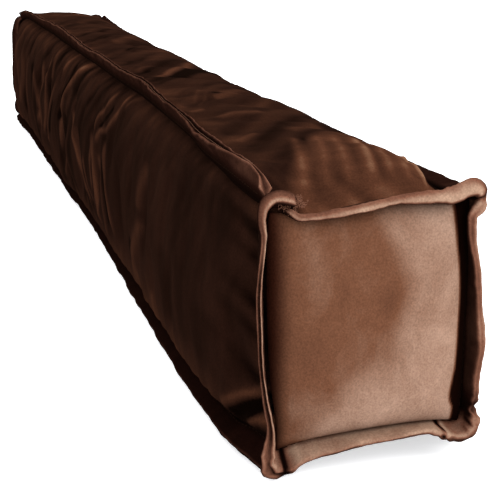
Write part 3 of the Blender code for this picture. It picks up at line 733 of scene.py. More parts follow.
def join_as(name, parts):
    """Joins meshes, or curves made meshes, into one piece."""
    deselect_all()
    for part in parts:
        part.select_set(True)
    bpy.context.view_layer.objects.active = parts[0]
    if parts[0].type == "CURVE":
        bpy.ops.object.convert(target="MESH")
    bpy.ops.object.join()
    piece = bpy.context.active_object
    piece.name = piece.data.name = name
    return piece


# ---------------------------------------------------------------- materials

CREASE_SHADE_SHARE = 0.15  # painted shade: how much of its shaded colour velvet keeps in a tight crease
SHADED_THREAD_SHARE = 0.1  # painted shade: how much of its colour thread keeps deep in a seam
TWIST_SHARE = 0.6  # how much of its colour thread shows in the hollows of its twist
TWISTS = 1500.0  # how many of those there are in a metre
# How uneven each velvet is, and how much its soft patches are pressed together in x, y and z.
BRUSHED = {
    "run": (0.5, (1.0, 0.4, 0.35)), "end": (0.2, (1.0, 1.6, 1.2)), "edge": (0.3, (2.5, 2.5, 2.5)),
}
MATERIALS = {}  # the velvet or thread of each part, once it is made


def set_input(tree, socket, value):
    """Links a socket to another one, or gives it a value."""
    if isinstance(value, bpy.types.NodeSocket):
        tree.links.new(value, socket)
    else:
        socket.default_value = value


def add_node(tree, kind, settings=(), inputs=()):
    """Adds a node with its settings, and with its inputs set to values or linked to sockets."""
    node = tree.nodes.new(kind)
    for name, value in dict(settings).items():
        setattr(node, name, value)
    for name, value in dict(inputs).items():
        set_input(tree, node.inputs[name], value)
    return node


def new_material(name):
    """A material with only its output and its shader, and the tree that they are in."""
    material = bpy.data.materials.new(name)
    material.use_nodes = True
    tree = material.node_tree
    return material, tree, tree.nodes["Principled BSDF"]


def rgba(colour):
    return (*colour, 1.0)


def mix_colours(tree, factor, first, second, blend="MIX"):
    """The result socket of a Mix node for colours."""
    node = add_node(tree, "ShaderNodeMix", {"data_type": "RGBA", "blend_type": blend})
    for number, value in ((0, factor), (6, first), (7, second)):
        set_input(tree, node.inputs[number], value)
    return node.outputs[2]


def cotton_velvet(name, colours, uneven_share, brushed, sizes):
    """Cotton velvet: a short dense cut pile, woven as loops and cut, then brushed.

    Its colour is painted light and shade: a value on each point picks between near black in a
    crease and the shaded, half-lit and lit colours, and soft patches with no edge make it uneven.
    """
    material, tree, shader = new_material(name)
    place = add_node(tree, "ShaderNodeTexCoord").outputs["Object"]
    nap = add_node(tree, "ShaderNodeAttribute", {"attribute_name": "nap"}).outputs["Fac"]
    drawn = add_node(tree, "ShaderNodeMapping", inputs={"Vector": place, "Scale": brushed})
    patches = add_node(tree, "ShaderNodeTexNoise", inputs={
        "Vector": drawn.outputs["Vector"], "Scale": 1 / sizes.nap_patch, "Detail": 5.0,
        "Roughness": 0.62, "Distortion": 0.5,
    })
    swing = add_node(tree, "ShaderNodeMapRange", inputs={
        "Value": patches.outputs["Fac"], "From Min": 0.3, "From Max": 0.7,
        "To Min": 1 - uneven_share, "To Max": 1 + uneven_share,
    })
    laid = add_node(
        tree, "ShaderNodeMath", {"operation": "MULTIPLY", "use_clamp": True},
        {0: nap, 1: swing.outputs["Result"]},
    )
    # Painted light picks the colour: near black in a crease, then the shaded, half-lit and lit velvet.
    shades = add_node(tree, "ShaderNodeValToRGB", inputs={"Fac": laid.outputs[0]})
    stops = shades.color_ramp.elements
    stops.new(SHADED_STOP)
    stops.new(HALF_LIT_STOP)
    for stop, colour in zip(stops, ([c * CREASE_SHADE_SHARE for c in colours[0]], *colours)):
        stop.color = rgba(colour)
    # Real tufts are about 0.2 mm across, too fine to show, so the grain is drawn coarser.
    grain = add_node(tree, "ShaderNodeTexNoise", inputs={
        "Vector": place, "Scale": 1 / sizes.pile_grain, "Detail": 2.0, "Roughness": 0.6,
    })
    speckle = add_node(tree, "ShaderNodeMapRange", inputs={
        "Value": grain.outputs["Fac"], "From Min": 0.3, "From Max": 0.7, "To Min": 0.8,
        "To Max": 1.2,
    })
    grained = mix_colours(
        tree, 1.0, shades.outputs["Color"], speckle.outputs["Result"], "MULTIPLY",
    )
    tree.links.new(grained, shader.inputs["Base Color"])
    bump = add_node(tree, "ShaderNodeBump", inputs={
        "Height": grain.outputs["Fac"], "Strength": 0.4, "Distance": 0.0003,
    })
    tree.links.new(bump.outputs["Normal"], shader.inputs["Normal"])
    shader.inputs["Roughness"].default_value = 0.9
    shader.inputs["Specular IOR Level"].default_value = 0.0
    shader.inputs["Sheen Weight"].default_value = 0.012
    shader.inputs["Sheen Roughness"].default_value = 0.45
    shader.inputs["Sheen Tint"].default_value = rgba(from_hex("#b98e76"))
    return material


def spun_polyester(name, colour):
    """Spun polyester sewing thread: matt, with a faint soft shine along its twist."""
    material, tree, shader = new_material(name)
    place = add_node(tree, "ShaderNodeTexCoord").outputs["Object"]
    fibres = add_node(tree, "ShaderNodeTexNoise", inputs={"Vector": place, "Scale": TWISTS})
    hollow = rgba([c * TWIST_SHARE for c in colour])
    shade = mix_colours(tree, fibres.outputs["Fac"], hollow, rgba(colour))
    tree.links.new(shade, shader.inputs["Base Color"])
    shader.inputs["Roughness"].default_value = 0.85
    shader.inputs["Specular IOR Level"].default_value = 0.0
    return material


def lit_acrylic(name, colour):
    """Matt opal acrylic lit a little from below, which keeps the shadow on it thin."""
    material, tree, shader = new_material(name)
    shader.inputs["Base Color"].default_value = rgba(colour)
    shader.inputs["Roughness"].default_value = 0.95
    shader.inputs["Specular IOR Level"].default_value = 0.0
    shader.inputs["Emission Color"].default_value = rgba(colour)
    shader.inputs["Emission Strength"].default_value = 0.75
    return material


# ---------------------------------------------------------------- the filled run


def seam_line(seam, x):
    """Points of a long seam at these places along the length, in millimetres."""
    return np.column_stack((x, read_smoothly(SEAMS, x)[:, SEAM_COLUMNS[seam]]))


def shift_at(seam, x):
    """How far the filling that bulges up beside a seam presses it aside and up."""
    shift = np.zeros((len(x), 3))
    if seam == "top_front":
        shift[:, 1:] = read_smoothly(SEAM_SHIFT, x)
    if seam == "top_back":
        shift[:, 2] = -BACK_DROP * ramp(x, *BACK_DROP_X)
    if seam == "low_front":
        shift[:, 1:] = np.outer(ramp(x, *LOW_RISE_X), LOW_RISE)
    return shift


def from_seam(points, seam):
    """How far points, in millimetres, lie from a long seam."""
    return np.linalg.norm(points - seam_line(seam, points[:, 0]), axis=1)


def from_seams(points):
    """How far points, in millimetres, lie from the nearest long seam."""
    return np.min([from_seam(points, seam) for seam in SEAM_COLUMNS], axis=0)


def fold_line(fold):
    """Points on a smooth line through the places of a fold."""
    rows = np.column_stack((np.arange(len(fold.line)), fold.line))
    steps = np.linspace(0, len(rows) - 1, FOLD_POINTS * (len(rows) - 1) + 1)
    return read_smoothly(rows, steps)


def distance_to_line(places, line):
    """Distances in the plane from places to a line of short straight steps, and how far along
    the line the nearest point of each is, from 0 to 1."""
    nearest, share = np.full(len(places), np.inf), np.zeros(len(places))
    for number, (start, end) in enumerate(zip(line, line[1:])):
        step = end - start
        along = np.clip(((places - start) @ step) / (step @ step), 0, 1)
        away = np.linalg.norm(places - start - along[:, None] * step, axis=1)
        closer = away < nearest
        nearest[closer] = away[closer]
        share[closer] = (number + along[closer]) / (len(line) - 1)
    return nearest, share


def fold_shape(fold, points):
    """How high a fold raises points and the painted light and shade that it adds, before their facing.
    """
    stretch = (FOLD_STRETCH[fold.panel], 1.0)
    places, line = points[:, FOLD_AXES[fold.panel]] * stretch, fold_line(fold) * stretch
    reach = FOLD_REACH * fold.width
    inside = np.all((places > line.min(0) - reach) & (places < line.max(0) + reach), axis=1)
    close = np.flatnonzero(inside)
    away, share = distance_to_line(places[close], line)
    fade = smooth_step(np.minimum(share, 1 - share) / FOLD_FADE)
    rise, light = np.zeros(len(points)), np.zeros(len(points))
    rise[close] = fold.rise * np.exp(-((away / fold.width) ** RIDGE_POWER)) * fade
    light[close] = fold.light * mound(away, FOLD_LIT * fold.width) * fade
    return rise, light


def facing(normals, panel):
    """How squarely points face the way that a panel does, from 0 to 1."""
    axis, sign = PANEL_WAYS[panel]
    return ramp(normals[:, axis] * sign, *PANEL_FACES)


def all_folds(points, faces):
    """How high the folds raise points, and the painted light and shade that they add there."""
    rise, light = np.zeros(len(points)), np.zeros(len(points))
    for fold in FOLDS:
        raised, laid = fold_shape(fold, points)
        rise += raised * faces[fold.panel]
        light += laid * faces[fold.panel]
    return rise, light


def faint_wisps(points, faces):
    """Uneven lines over the front, strongest low down on its far part, and over the top."""
    x, y, z = points.T
    bowed = x - WISP_BOW * (z - WISP_LEVEL) ** 2
    far = ramp(x, *WISPS_GROW_X) * (FAR_WISPS + FAR_WISPS * ramp(z, *WISPS_GROW_Z))
    wisps = uneven_sum(bowed, FRONT_WISPS) * ((NEAR_WISPS + far) * faces["front"])
    slanting = x + WISP_SLANT * y + uneven_sum(y, WISP_SWAY)
    return wisps + TOP_WISPS_SHARE * uneven_sum(slanting, TOP_WISPS) * faces["top"]


def run_light(points, faces):
    """Painted light of the long panels apart from their folds, wisps and pleats, darker on the front.
    """
    x, y, z = points.T
    on_front, on_top = read_smoothly(RUN_LIGHT, x).T
    hidden = HIDDEN_SHARE * on_top
    nap = hidden + (on_front - hidden) * faces["front"] + (on_top - hidden) * faces["top"]
    behind = y - read_smoothly(TOP_LIGHT_LINE, x)[:, 0]
    nap += TOP_LIGHT * ramp(behind, *TOP_LIGHT_EDGE) * ramp(x, *TOP_LIGHT_X) * faces["top"]
    band = mound(from_seam(points, "low_front") - LOW_LIGHT_AT, LOW_LIGHT_WIDTH)
    band *= LOW_LIGHT_FAR + (1 - LOW_LIGHT_FAR) * ramp(x, *LOW_LIGHT_GROWS_X)
    band *= ramp(x, *LOW_LIGHT_ENDS_X) * (1 + uneven_sum(x, LOW_LIGHT_WAVER))
    return nap + LOW_LIGHT * band + patch_light(FRONT_PATCHES, x, z) * faces["front"]


def press_folds(piece, end_x):
    """Raises the folds and the gathers at the seams, and paints light and shade on the cloth."""
    points, normals = points_of(piece) / MM, normals_of(piece)
    faces = {panel: facing(normals, panel) for panel in PANEL_WAYS}
    x, y, z = points.T
    rise, nap = all_folds(points, faces)
    nap += run_light(points, faces)
    wisps = faint_wisps(points, faces)
    rise += WISP_RISE * wisps
    nap += WISP_LIGHT * (1 + faces["top"]) * wisps
    for seam, height in SHOULDERS.items():
        away = from_seam(points, seam)
        rise += height * away / SHOULDER_AT * np.exp(1 - away / SHOULDER_AT)
    to_seam, to_end = from_seams(points), end_x - np.abs(x)
    level = LOW_GATHERS + (1 - LOW_GATHERS) * ramp(z, *GATHERS_GROW_Z)
    rise += GATHER_RISE * uneven_sum(x, GATHERS) * np.exp(-to_seam / GATHER_REACH) * level
    pleats = uneven_sum(y + z, END_PLEATS) * np.exp(-np.maximum(to_end, 0) / END_PLEAT_REACH)
    rise += END_PLEAT_RISE * pleats
    nap += END_PLEAT_LIGHT * pleats
    held = smooth_step(to_seam / HELD_BY_SEAM) * np.clip(to_end / HELD_BY_END, 0, 1)
    points += normals * (rise * held)[:, None]
    back = ramp(x, *BACK_DROP_X) * ramp(y, *BACK_DROP_Y) * ramp(z, *BACK_DROP_Z)
    points[:, 2] = np.maximum(z - BACK_DROP * back, 0.0)
    pressed = mound(from_seam(points, "top_front"), SHIFT_WIDTH)
    points += shift_at("top_front", x) * pressed[:, None]
    move_points(piece, points * MM)
    # Painted shade into the seams, then painted light from which way each point faces.
    nap *= SEAM_DARK + (1 - SEAM_DARK) * smooth_step(to_seam / SEAM_DARK_WIDTH)
    write_painted_light(piece, nap * (AWAY_GAIN + FACING_GAIN * facing_light(piece)))


def fill_with_stuffing(piece, sizes, end_x):
    """Swells the cloth with Blender's Cloth, held along its seams, and limits how far it goes."""
    rest = points_of(piece)
    held = piece.vertex_groups.new(name="sewn")
    to_seam = from_seams(rest / MM)
    to_end = end_x - np.abs(rest[:, 0]) / MM
    grip = np.clip(GRIP - np.minimum(to_seam, to_end) / GRIP_FADE, 0, 1)
    for number in np.flatnonzero(grip > 0):
        held.add([int(number)], float(grip[number]), "REPLACE")
    pick(piece)
    cloth = piece.modifiers.new("Filling", "CLOTH")
    settings = cloth.settings
    settings.quality = 5
    settings.mass = 0.3
    settings.use_pressure = True
    settings.uniform_pressure_force = sizes.pressure
    settings.shrink_min = -sizes.spare_cloth
    settings.vertex_group_mass = "sewn"
    settings.tension_stiffness = 15
    settings.compression_stiffness = 15
    settings.bending_stiffness = 3.0
    settings.effector_weights.gravity = 0.0
    cloth.collision_settings.use_collision = False
    scene = bpy.context.scene
    for number in range(1, SWELL_FRAMES + 1):
        scene.frame_set(number)
    bpy.ops.object.modifier_apply(modifier=cloth.name)
    scene.frame_set(1)
    piece.vertex_groups.clear()
    limit_swell(piece, rest, sizes.most_swell)


def limit_swell(piece, rest, most):
    """Keeps the creases that the simulation made and leaves out most of its even swelling."""
    moves = points_of(piece) - rest
    moves = moves - EVEN_SHARE * smoothed(piece, moves, EVEN_ROUNDS)
    size = np.linalg.norm(moves, axis=1, keepdims=True)
    moves *= most * np.tanh(size / most) / np.maximum(size, 1e-9)
    move_points(piece, rest + moves)


def refine_folds(piece):
    """Cuts the cloth finer along its folds, whose edges are sharp, and on top by the near end."""
    pick(piece)
    centres = np.empty(len(piece.data.polygons) * 3)
    normals = np.empty(len(piece.data.polygons) * 3)
    piece.data.polygons.foreach_get("center", centres)
    piece.data.polygons.foreach_get("normal", normals)
    centres, normals = centres.reshape(-1, 3) / MM, normals.reshape(-1, 3)
    close = (centres[:, 0] > FINE_FROM) & (normals[:, 0] < FINE_ALONG) & (normals[:, 2] > FINE_UP)
    for fold in FOLDS:
        if fold.width < FINE_WIDTH:
            reach = np.abs(fold_shape(fold, centres)[0] / fold.rise) > FINE_SHARE
            close |= reach & (facing(normals, fold.panel) > FINE_FACING)
    bpy.ops.object.mode_set(mode="EDIT")
    bpy.ops.mesh.select_mode(type="FACE")
    bpy.ops.mesh.select_all(action="DESELECT")
    bpy.ops.object.mode_set(mode="OBJECT")
    piece.data.polygons.foreach_set("select", close)
    bpy.ops.object.mode_set(mode="EDIT")
    bpy.ops.mesh.subdivide(number_cuts=1, smoothness=0.0)
    bpy.ops.object.mode_set(mode="OBJECT")


def smoothed(piece, values, rounds):
    """Values on points averaged with their neighbours, so many times."""
    edges = np.empty(len(piece.data.edges) * 2, np.int32)
    piece.data.edges.foreach_get("vertices", edges)
    first, second = edges.reshape(-1, 2).T
    count = np.bincount(edges, minlength=len(values)).astype(float)[:, None]
    for _ in range(rounds):
        total = np.zeros_like(values)
        for axis in range(values.shape[1]):
            total[:, axis] += np.bincount(first, values[second, axis], len(values))
            total[:, axis] += np.bincount(second, values[first, axis], len(values))
        values = 0.5 * values + 0.5 * total / np.maximum(count, 1)
    return values


def end_painted_light(piece, low, high):
    """Painted light of an end panel: more on its back third, with painted shade into its seams and
    edges.
    """
    _, y, z = (points_of(piece) / MM).T
    behind = y - read_smoothly(END_LIGHT_LINE, z)[:, 0] - uneven_sum(z, END_LIGHT_WAVER)
    level = END_LIGHT + sum(more * ramp(behind, start, end) for more, start, end in END_STEPS)
    level += patch_light(END_PATCHES, y, z)
    level *= END_FRONT_LEFT + (1 - END_FRONT_LEFT) * ramp(y - low.y, *END_FRONT_DARK)
    level *= ramp(z - low.z, *END_FOOT_DARK) * ramp(high.z - z, *END_TOP_DARK)
    return level * ramp(read_smoothly(END_EDGE, z)[:, 0] - y, *END_BACK_DARK)


# ---------------------------------------------------------------- flanges


def flange_outline(groove=1.0):
    """Share and stand-off round a whole outline: up one side, over both lips and down."""
    rows = np.array(FLANGE_OUTLINE)
    rim = rows[-len(ROUND_RIM):, 0]
    rim += (1 - groove) * (np.array(ROUND_RIM) - rim)
    steps = np.linspace(0, len(rows) - 1, OUTLINE_STEPS)
    half = read_smoothly(np.column_stack((np.arange(len(rows)), rows)), steps)
    other = half[-2::-1] * (1, -1)
    return np.vstack((half, other))


class Flange:
    """A flange as its foot, its reach to the rim and its width across, section by section."""

    def __init__(self, feet, reaches, thick, closed, seed):
        middles = feet + reaches / 2
        if closed:
            along = np.roll(middles, -1, 0) - np.roll(middles, 1, 0)
        else:
            along = np.gradient(middles, axis=0)
        self.feet, self.reaches, self.thick = feet, reaches, thick
        self.closed, self.seed = closed, seed
        self.across = unit(np.cross(unit(along), reaches))
        steps = np.linalg.norm(np.diff(middles, axis=0), axis=1)
        self.run = np.concatenate(([0.0], np.cumsum(steps)))
        self.round_end, self.pleats = ROUND_END, ()
        self.groove = np.ones(len(feet))
        self.tone = self.sides = 1.0
        self.lean, self.least = 0.0, NEAR_LEAST
        self.dark_foot, self.shade = DARK_FOOT, GROOVE_SHADE

    def take_tones(self, name):
        """Gives a long flange or the far one the painted light of its row, and more of it at its near
        end.
        """
        self.tone, self.sides, self.least, more = FLANGE_TONES[name]
        near = more * ramp(self.run / self.run[-1], *NEAR_END_SHARES)
        self.tone = self.tone * (1 + near)
        self.shade = self.shade * (1 - NEAR_END_GROOVE * near)

    def wave(self):
        """Sways the rim to either side and makes its height uneven, calm at both ends."""
        calm = calm_ends(self.run, RIM_CALM)
        sway = uneven_sum(self.run, RIM_SWAY, self.seed) * calm
        rise = uneven_sum(self.run, RIM_RISE, self.seed) * calm
        up = unit(self.reaches)
        self.reaches = self.reaches + self.across * sway[:, None] + up * rise[:, None]
        up = unit(self.reaches)
        self.across = unit(self.across - up * (self.across * up).sum(1)[:, None])

    def sections(self):
        """The points of each section, with puckers, pleats at the corners and rounded ends."""
        share, half = flange_outline().T
        plain = flange_outline(0.0)[:, 0]
        swell = np.clip((share - SWELL_FROM) / SWELL_SPAN, 0, 1)
        size = np.ones(len(self.feet))
        if not self.closed:
            inside = np.minimum(self.run, self.run[-1] - self.run)
            size = np.sqrt(1 - np.clip(1 - inside / self.round_end, 0, 1) ** 2)
        calm = calm_ends(self.run, LIP_CALM)
        pleat = np.zeros(len(self.feet))
        for place, depth in self.pleats:
            away = self.run - place
            pleat += depth * np.cos(2 * math.pi * away / PLEAT_PITCH) * mound(away, PLEAT_REACH)
        points = np.empty((len(self.feet), len(share), 3))
        for side, seed in ((1, self.seed), (-1, self.seed + 1), (0, self.seed)):
            pucker = uneven_sum(self.run, PUCKERS, seed) * calm
            lift = uneven_sum(self.run, LIFTS, seed) * calm * abs(side)
            for k in np.flatnonzero(np.sign(half) == side):
                reach = plain[k] + (share[k] - plain[k]) * self.groove
                along = ROUND_TO + (reach * (1 + lift * swell[k]) - ROUND_TO) * size
                out = half[k] * (1 + (self.thick - 1) * swell[k]) * (1 + pucker * swell[k])
                out = (out + side * pleat * swell[k]) * size
                points[:, k] = self.feet + self.reaches * along[:, None] + self.across * out[:, None]
        return points

    def lips(self):
        """Painted light on the flange: most along the lips, and painted shade at the foot and in the
        groove.
        """
        share, half = flange_outline().T
        sides, lean = (np.ones(len(self.run)) * value for value in (self.sides, self.lean))
        body = ramp(share, FOOT_SHARE, FOOT_SHARE + self.dark_foot)
        level = np.outer(sides, body) + np.outer(1 - sides, ramp(share, *CREST_SHARES))
        level *= 1 + np.outer(lean, np.clip(half, -1, 1))
        inside = ramp(np.abs(half), *GROOVE_HALVES) * (share > GROOVE_FROM)
        along = (1 + uneven_sum(self.run, LIP_LIGHT, self.seed)) * self.tone
        return along[:, None] * level * (1 - np.outer(self.groove * self.shade, inside))

    def line(self, share, half):
        """A line along the flange at a share of its reach and a stand-off from its middle."""
        return self.feet + self.reaches * share + self.across * half


def long_flange(seam, stop, step):
    """A long flange from one end flange to the other."""
    side = -1 if seam.endswith("front") else 1
    up = 1 if seam.startswith("top") else -1
    x = np.arange(-stop, stop + step / 2, step)
    lean = read_smoothly(LONG_FLANGES[seam], x)
    shift = shift_at(seam, x)
    reaches = np.column_stack((np.zeros(len(x)), side * lean[:, 0], lean[:, 1])) - shift
    feet = seam_line(seam, x) + np.array((0, side, up)) / math.sqrt(2) * FOOT_OUT + shift
    if seam == "low_front":
        reaches[:, 0] = FORWARD_END * ramp(x, *FORWARD_X)
    thick = lean[:, 2] if lean.shape[1] > 2 else np.ones(len(x))
    seed = LONG_SEED + SEED_STEP * list(LONG_FLANGES).index(seam)
    flange = Flange(feet, reaches, thick, False, seed)
    if seam == "top_front":
        flange.round_end, flange.dark_foot = SPREAD_END, SPREAD_DARK_FOOT
    flange.take_tones(seam)
    return flange


def end_seam(node, side):
    """The seam of an end panel from its solid: turn, y and z from the top front corner."""
    points = points_of(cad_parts[node]) / MM
    x = side * points[:, 0]
    rim = np.unique(np.round(points[x < x.min() + SEAM_FLAT], 3), axis=0)[:, 1:]
    middle = rim.mean(axis=0)
    rim = rim[np.argsort(-np.arctan2(rim[:, 1] - middle[1], rim[:, 0] - middle[0]))]
    rim = np.roll(rim, -np.argmax((rim - middle) @ (-1, 1)), axis=0)
    corners = [0] + [int(np.argmax((rim - middle) @ way)) for way in ((1, 1), (1, -1), (-1, -1))]
    seam = []
    for number, axis in enumerate((0, 1, 0, 1)):
        start, end = corners[number], (corners + [len(rim)])[number + 1]
        stretch = np.vstack((rim, rim[:1]))[start:end + 1, axis]
        share = (stretch[:-1] - stretch[0]) / (stretch[-1] - stretch[0])
        seam.append(np.column_stack((number + share, rim[start:end])))
    return np.vstack(seam), side * x.min()


def end_flange(node, side, rows, step, seed):
    """The flange round an end panel, closed or with an open join."""
    seam, seam_x = end_seam(node, side)
    again = np.vstack([seam + (4 * lap, 0, 0) for lap in (-1, 0, 1, 2)])
    perimeter = np.linalg.norm(np.diff(np.vstack((seam, seam[:1]))[:, 1:], axis=0), axis=1).sum()
    first, last = rows[0][0], rows[-1][0]
    closed = last - first == 4
    count = int(perimeter * (last - first) / 4 / step)
    turns = np.linspace(first, last, count, endpoint=not closed)
    window = np.linspace(-SEAM_WINDOW, SEAM_WINDOW, WINDOW_STEPS)
    place = np.mean([read_smoothly(again, turns + shift) for shift in window], axis=0)
    corner = np.round(turns)
    swung = smooth_step((turns - corner) / CORNER_TURN * 0.5 + 0.5)
    quarter = (corner - 1 + swung) * math.pi / 2
    outward = np.column_stack((np.zeros(count), np.sin(quarter), np.cos(quarter)))
    forward, out, lift, thick = read_smoothly(rows, turns).T
    feet = np.column_stack((np.full(count, seam_x - side * FOOT_IN), place))
    feet = feet + outward * lift[:, None]
    reaches = outward * out[:, None]
    reaches[:, 0] += side * forward
    return turns, Flange(feet, reaches, thick, closed, seed)


def near_flange(step):
    """The near flange, with its groove, its pleats and the uneven painted light that the photo shows.
    """
    turns, flange = end_flange("end_panel_near", 1, NEAR_FLANGE, step, NEAR_SEED)
    flange.turns = turns
    flange.groove = read_smoothly(GROOVES, turns)[:, 0]
    flange.tone, flange.sides, flange.lean = read_smoothly(NEAR_TONES, turns).T
    flange.shade = NEAR_GROOVE_SHADE
    places = np.interp(list(PLEATS), turns, flange.run)
    flange.pleats = list(zip(places, PLEATS.values()))
    return flange


def far_flange(step):
    """The far flange, a closed ring."""
    _, flange = end_flange("end_panel_far", -1, FAR_FLANGE, step, FAR_SEED)
    flange.take_tones("end_far")
    flange.lean = FAR_LEAN
    return flange


# ---------------------------------------------------------------- sewing


def add_stitches(name, lines, pitch, length, thickness, material):
    """Rows of stitches: one stitch, repeated by Array and bent along each line by Curve."""
    rows = []
    for line in lines:
        guide = add_curve(name + "_line", "POLY", line * MM)
        deselect_all()
        bpy.ops.mesh.primitive_uv_sphere_add(
            segments=6, ring_count=5, radius=0.5, rotation=(0, math.pi / 2, 0),
        )
        row = bpy.context.active_object
        row.scale = (thickness, thickness, length)
        bpy.ops.object.transform_apply(location=True, rotation=True, scale=True)
        run = np.linalg.norm(np.diff(line, axis=0), axis=1).sum() * MM
        apply_modifier(
            row, "ARRAY", fit_type="FIXED_COUNT", count=max(int(run / pitch) - 1, 1),
            use_relative_offset=False, use_constant_offset=True,
            constant_offset_displace=(pitch, 0, 0),
        )
        apply_modifier(row, "CURVE", object=guide, deform_axis="POS_X")
        bpy.data.objects.remove(guide)
        rows.append(row)
    finish_piece(join_as(name, rows), material, "velvet_flange")


def add_thread(line, thickness):
    """One loose thread as a rounded curve through points."""
    thread = add_curve("frayed_end", "NURBS", line)
    thread.data.bevel_depth = thickness / 2
    thread.data.bevel_resolution = 1
    thread.data.resolution_u = 4
    thread.data.splines[0].use_endpoint_u = True
    return thread


def curled_line(random, start, way, spread):
    """Points of a loose thread that curls as it goes its way."""
    t = np.linspace(0, 1, FRAY_POINTS)[:, None]
    turned = random.uniform(0, 2 * math.pi) + random.uniform(*FRAY_TWIST) * t
    wide = random.uniform(*FRAY_CURL) * spread
    curl = wide * np.hstack((np.zeros_like(t), np.cos(turned), np.sin(turned)))
    return start + (way + random.normal(0, spread / 2, 3)) * t + curl - curl[0]


# ---------------------------------------------------------------- operators

FLANGES = {}  # each flange by name, for the operators that sew it


class EXCLUDER_OT_filled_run(bpy.types.Operator):
    """Make the filled run of four long panels, with its crowns, folds and gathers"""

    bl_idname = "excluder.filled_run"
    bl_label = "Filled Run"

    def execute(self, context):
        sizes = context.scene.excluder_sizes
        end_x = end_seam("end_panel_near", 1)[1]
        piece = merged_copy("bolster_body", "filled_run")
        apply_modifier(piece, "REMESH", mode="VOXEL", voxel_size=sizes.cloth_grid)
        fill_with_stuffing(piece, sizes, end_x)
        apply_modifier(piece, "SUBSURF", levels=1, render_levels=1)
        refine_folds(piece)
        press_folds(piece, end_x)
        finish_piece(piece, MATERIALS["run"], "velvet_run", "bolster_body")
        return {"FINISHED"}


class EXCLUDER_OT_end_panels(bpy.types.Operator):
    """Make the two end panels, stretched over the filling"""

    bl_idname = "excluder.end_panels"
    bl_label = "End Panels"

    def execute(self, context):
        for node in ("end_panel_near", "end_panel_far"):
            piece = merged_copy(node, node.replace("end_panel", "end_cloth"))
            apply_modifier(piece, "SUBSURF", levels=3, render_levels=3)
            low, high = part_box(node)
            write_painted_light(piece, end_painted_light(piece, low / MM, high / MM))
            finish_piece(piece, MATERIALS["end"], "velvet_end", node)
        return {"FINISHED"}


class EXCLUDER_OT_flanges(bpy.types.Operator):
    """Make the raised flanges round both ends and along the four long seams"""

    bl_idname = "excluder.flanges"
    bl_label = "Flanges"

    def execute(self, context):
        step = context.scene.excluder_sizes.section_step / MM
        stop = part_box("end_panel_near")[0].x / MM - LONG_STOP
        FLANGES.clear()
        FLANGES["end_near"] = near_flange(step)
        FLANGES["end_far"] = far_flange(step)
        for seam in LONG_FLANGES:
            FLANGES[seam] = long_flange(seam, stop, 2 * step)
        outline = flange_outline() * (FLANGE_REACH, 1.0)
        for name, flange in FLANGES.items():
            flange.wave()
            piece = add_strip("edge_" + name, flange.sections(), flange.lips(), flange.closed)
            # Where a point faces away from the light, only a share of its painted light stays.
            least = flange.least
            if name == "end_near":
                _, y, z = (points_of(piece) / MM).T
                upright = ramp(z, *BACK_LEAST_TOP) * ramp(z, *BACK_LEAST_FOOT)
                least = least + BACK_LEAST * ramp(y, *BACK_LEAST_Y) * upright
            write_painted_light(piece, read_painted_light(piece) * (least + (1 - least) * facing_light(piece)))
            finish_piece(piece, MATERIALS["edge"], "velvet_flange", "flange_" + name)
        return {"FINISHED"}


class EXCLUDER_OT_stitches(bpy.types.Operator):
    """Make the seam stitches in the groove of each flange and the topstitching at its foot"""

    bl_idname = "excluder.stitches"
    bl_label = "Stitches"

    def execute(self, context):
        sizes = context.scene.excluder_sizes
        free = int(SEAM_STITCH_STOP / sizes.section_step * MM)
        for name, flange in FLANGES.items():
            seam = [flange.line(SEAM_STITCH_SHARE, 0.0)[:-free]]
            # The shaded thread is the thread's colour with painted shade, for stitches deep in a seam.
            add_stitches(
                "seam_stitches_" + name, seam, sizes.seam_pitch,
                sizes.seam_pitch * SEAM_STITCH_FILL, sizes.thread,
                MATERIALS["deep_thread" if name == "end_near" else "thread"],
            )
            rows = [flange.line(TOPSTITCH_SHARE, side * TOPSTITCH_HALF) for side in (1, -1)]
            add_stitches(
                "topstitches_" + name, rows, sizes.stitch_pitch,
                sizes.stitch_pitch * TOPSTITCH_FILL, sizes.thread, MATERIALS["deep_thread"],
            )
        return {"FINISHED"}


class EXCLUDER_OT_frayed_ends(bpy.types.Operator):
    """Make the loose threads where the two ends of the near flange meet"""

    bl_idname = "excluder.frayed_ends"
    bl_label = "Frayed Ends"

    def execute(self, context):
        flange = FLANGES["end_near"]
        random = np.random.default_rng(FRAY_SEED)
        thickness = context.scene.excluder_sizes.thread * FRAY_THICKNESS
        threads = []
        for turn, count, way, spread in FRAYED:
            place = np.argmin(np.abs(flange.turns - turn))
            for _ in range(count):
                share, half = random.uniform(*FRAY_SHARES), random.uniform(-FRAY_WIDTH, FRAY_WIDTH)
                start = flange.line(share, half)[place]
                start = start + (0, random.uniform(-FRAY_WIDTH, FRAY_WIDTH), 0)
                line = curled_line(random, start, way, spread)
                threads.append(add_thread(line * MM, thickness))
        piece = join_as("frayed_ends", threads)
        finish_piece(piece, MATERIALS["loose_thread"], "velvet_flange")
        return {"FINISHED"}


# ---------------------------------------------------------------- the studio

FLOOR_SIZE = 12
FLOOR_GAP = 0.0004  # how far below the lowest cloth the floor lies
LIGHT_WAY = (0.45, 0.45, 0.77)  # where the brighter side of the surroundings is
# The camera: where it stands, and the way it looks, turned from +X and above the horizon.
CAMERA_PLACE = (0.95345, -0.17531, 0.21272)
CAMERA_TURN = math.radians(-15.197)
CAMERA_HEIGHT = math.radians(14.125)
CAMERA_ROLL = math.radians(0.345)
SENSOR_WIDTH = 36.0
FOCAL_PIXELS = 1298.1
PICTURE_WIDTH = 500


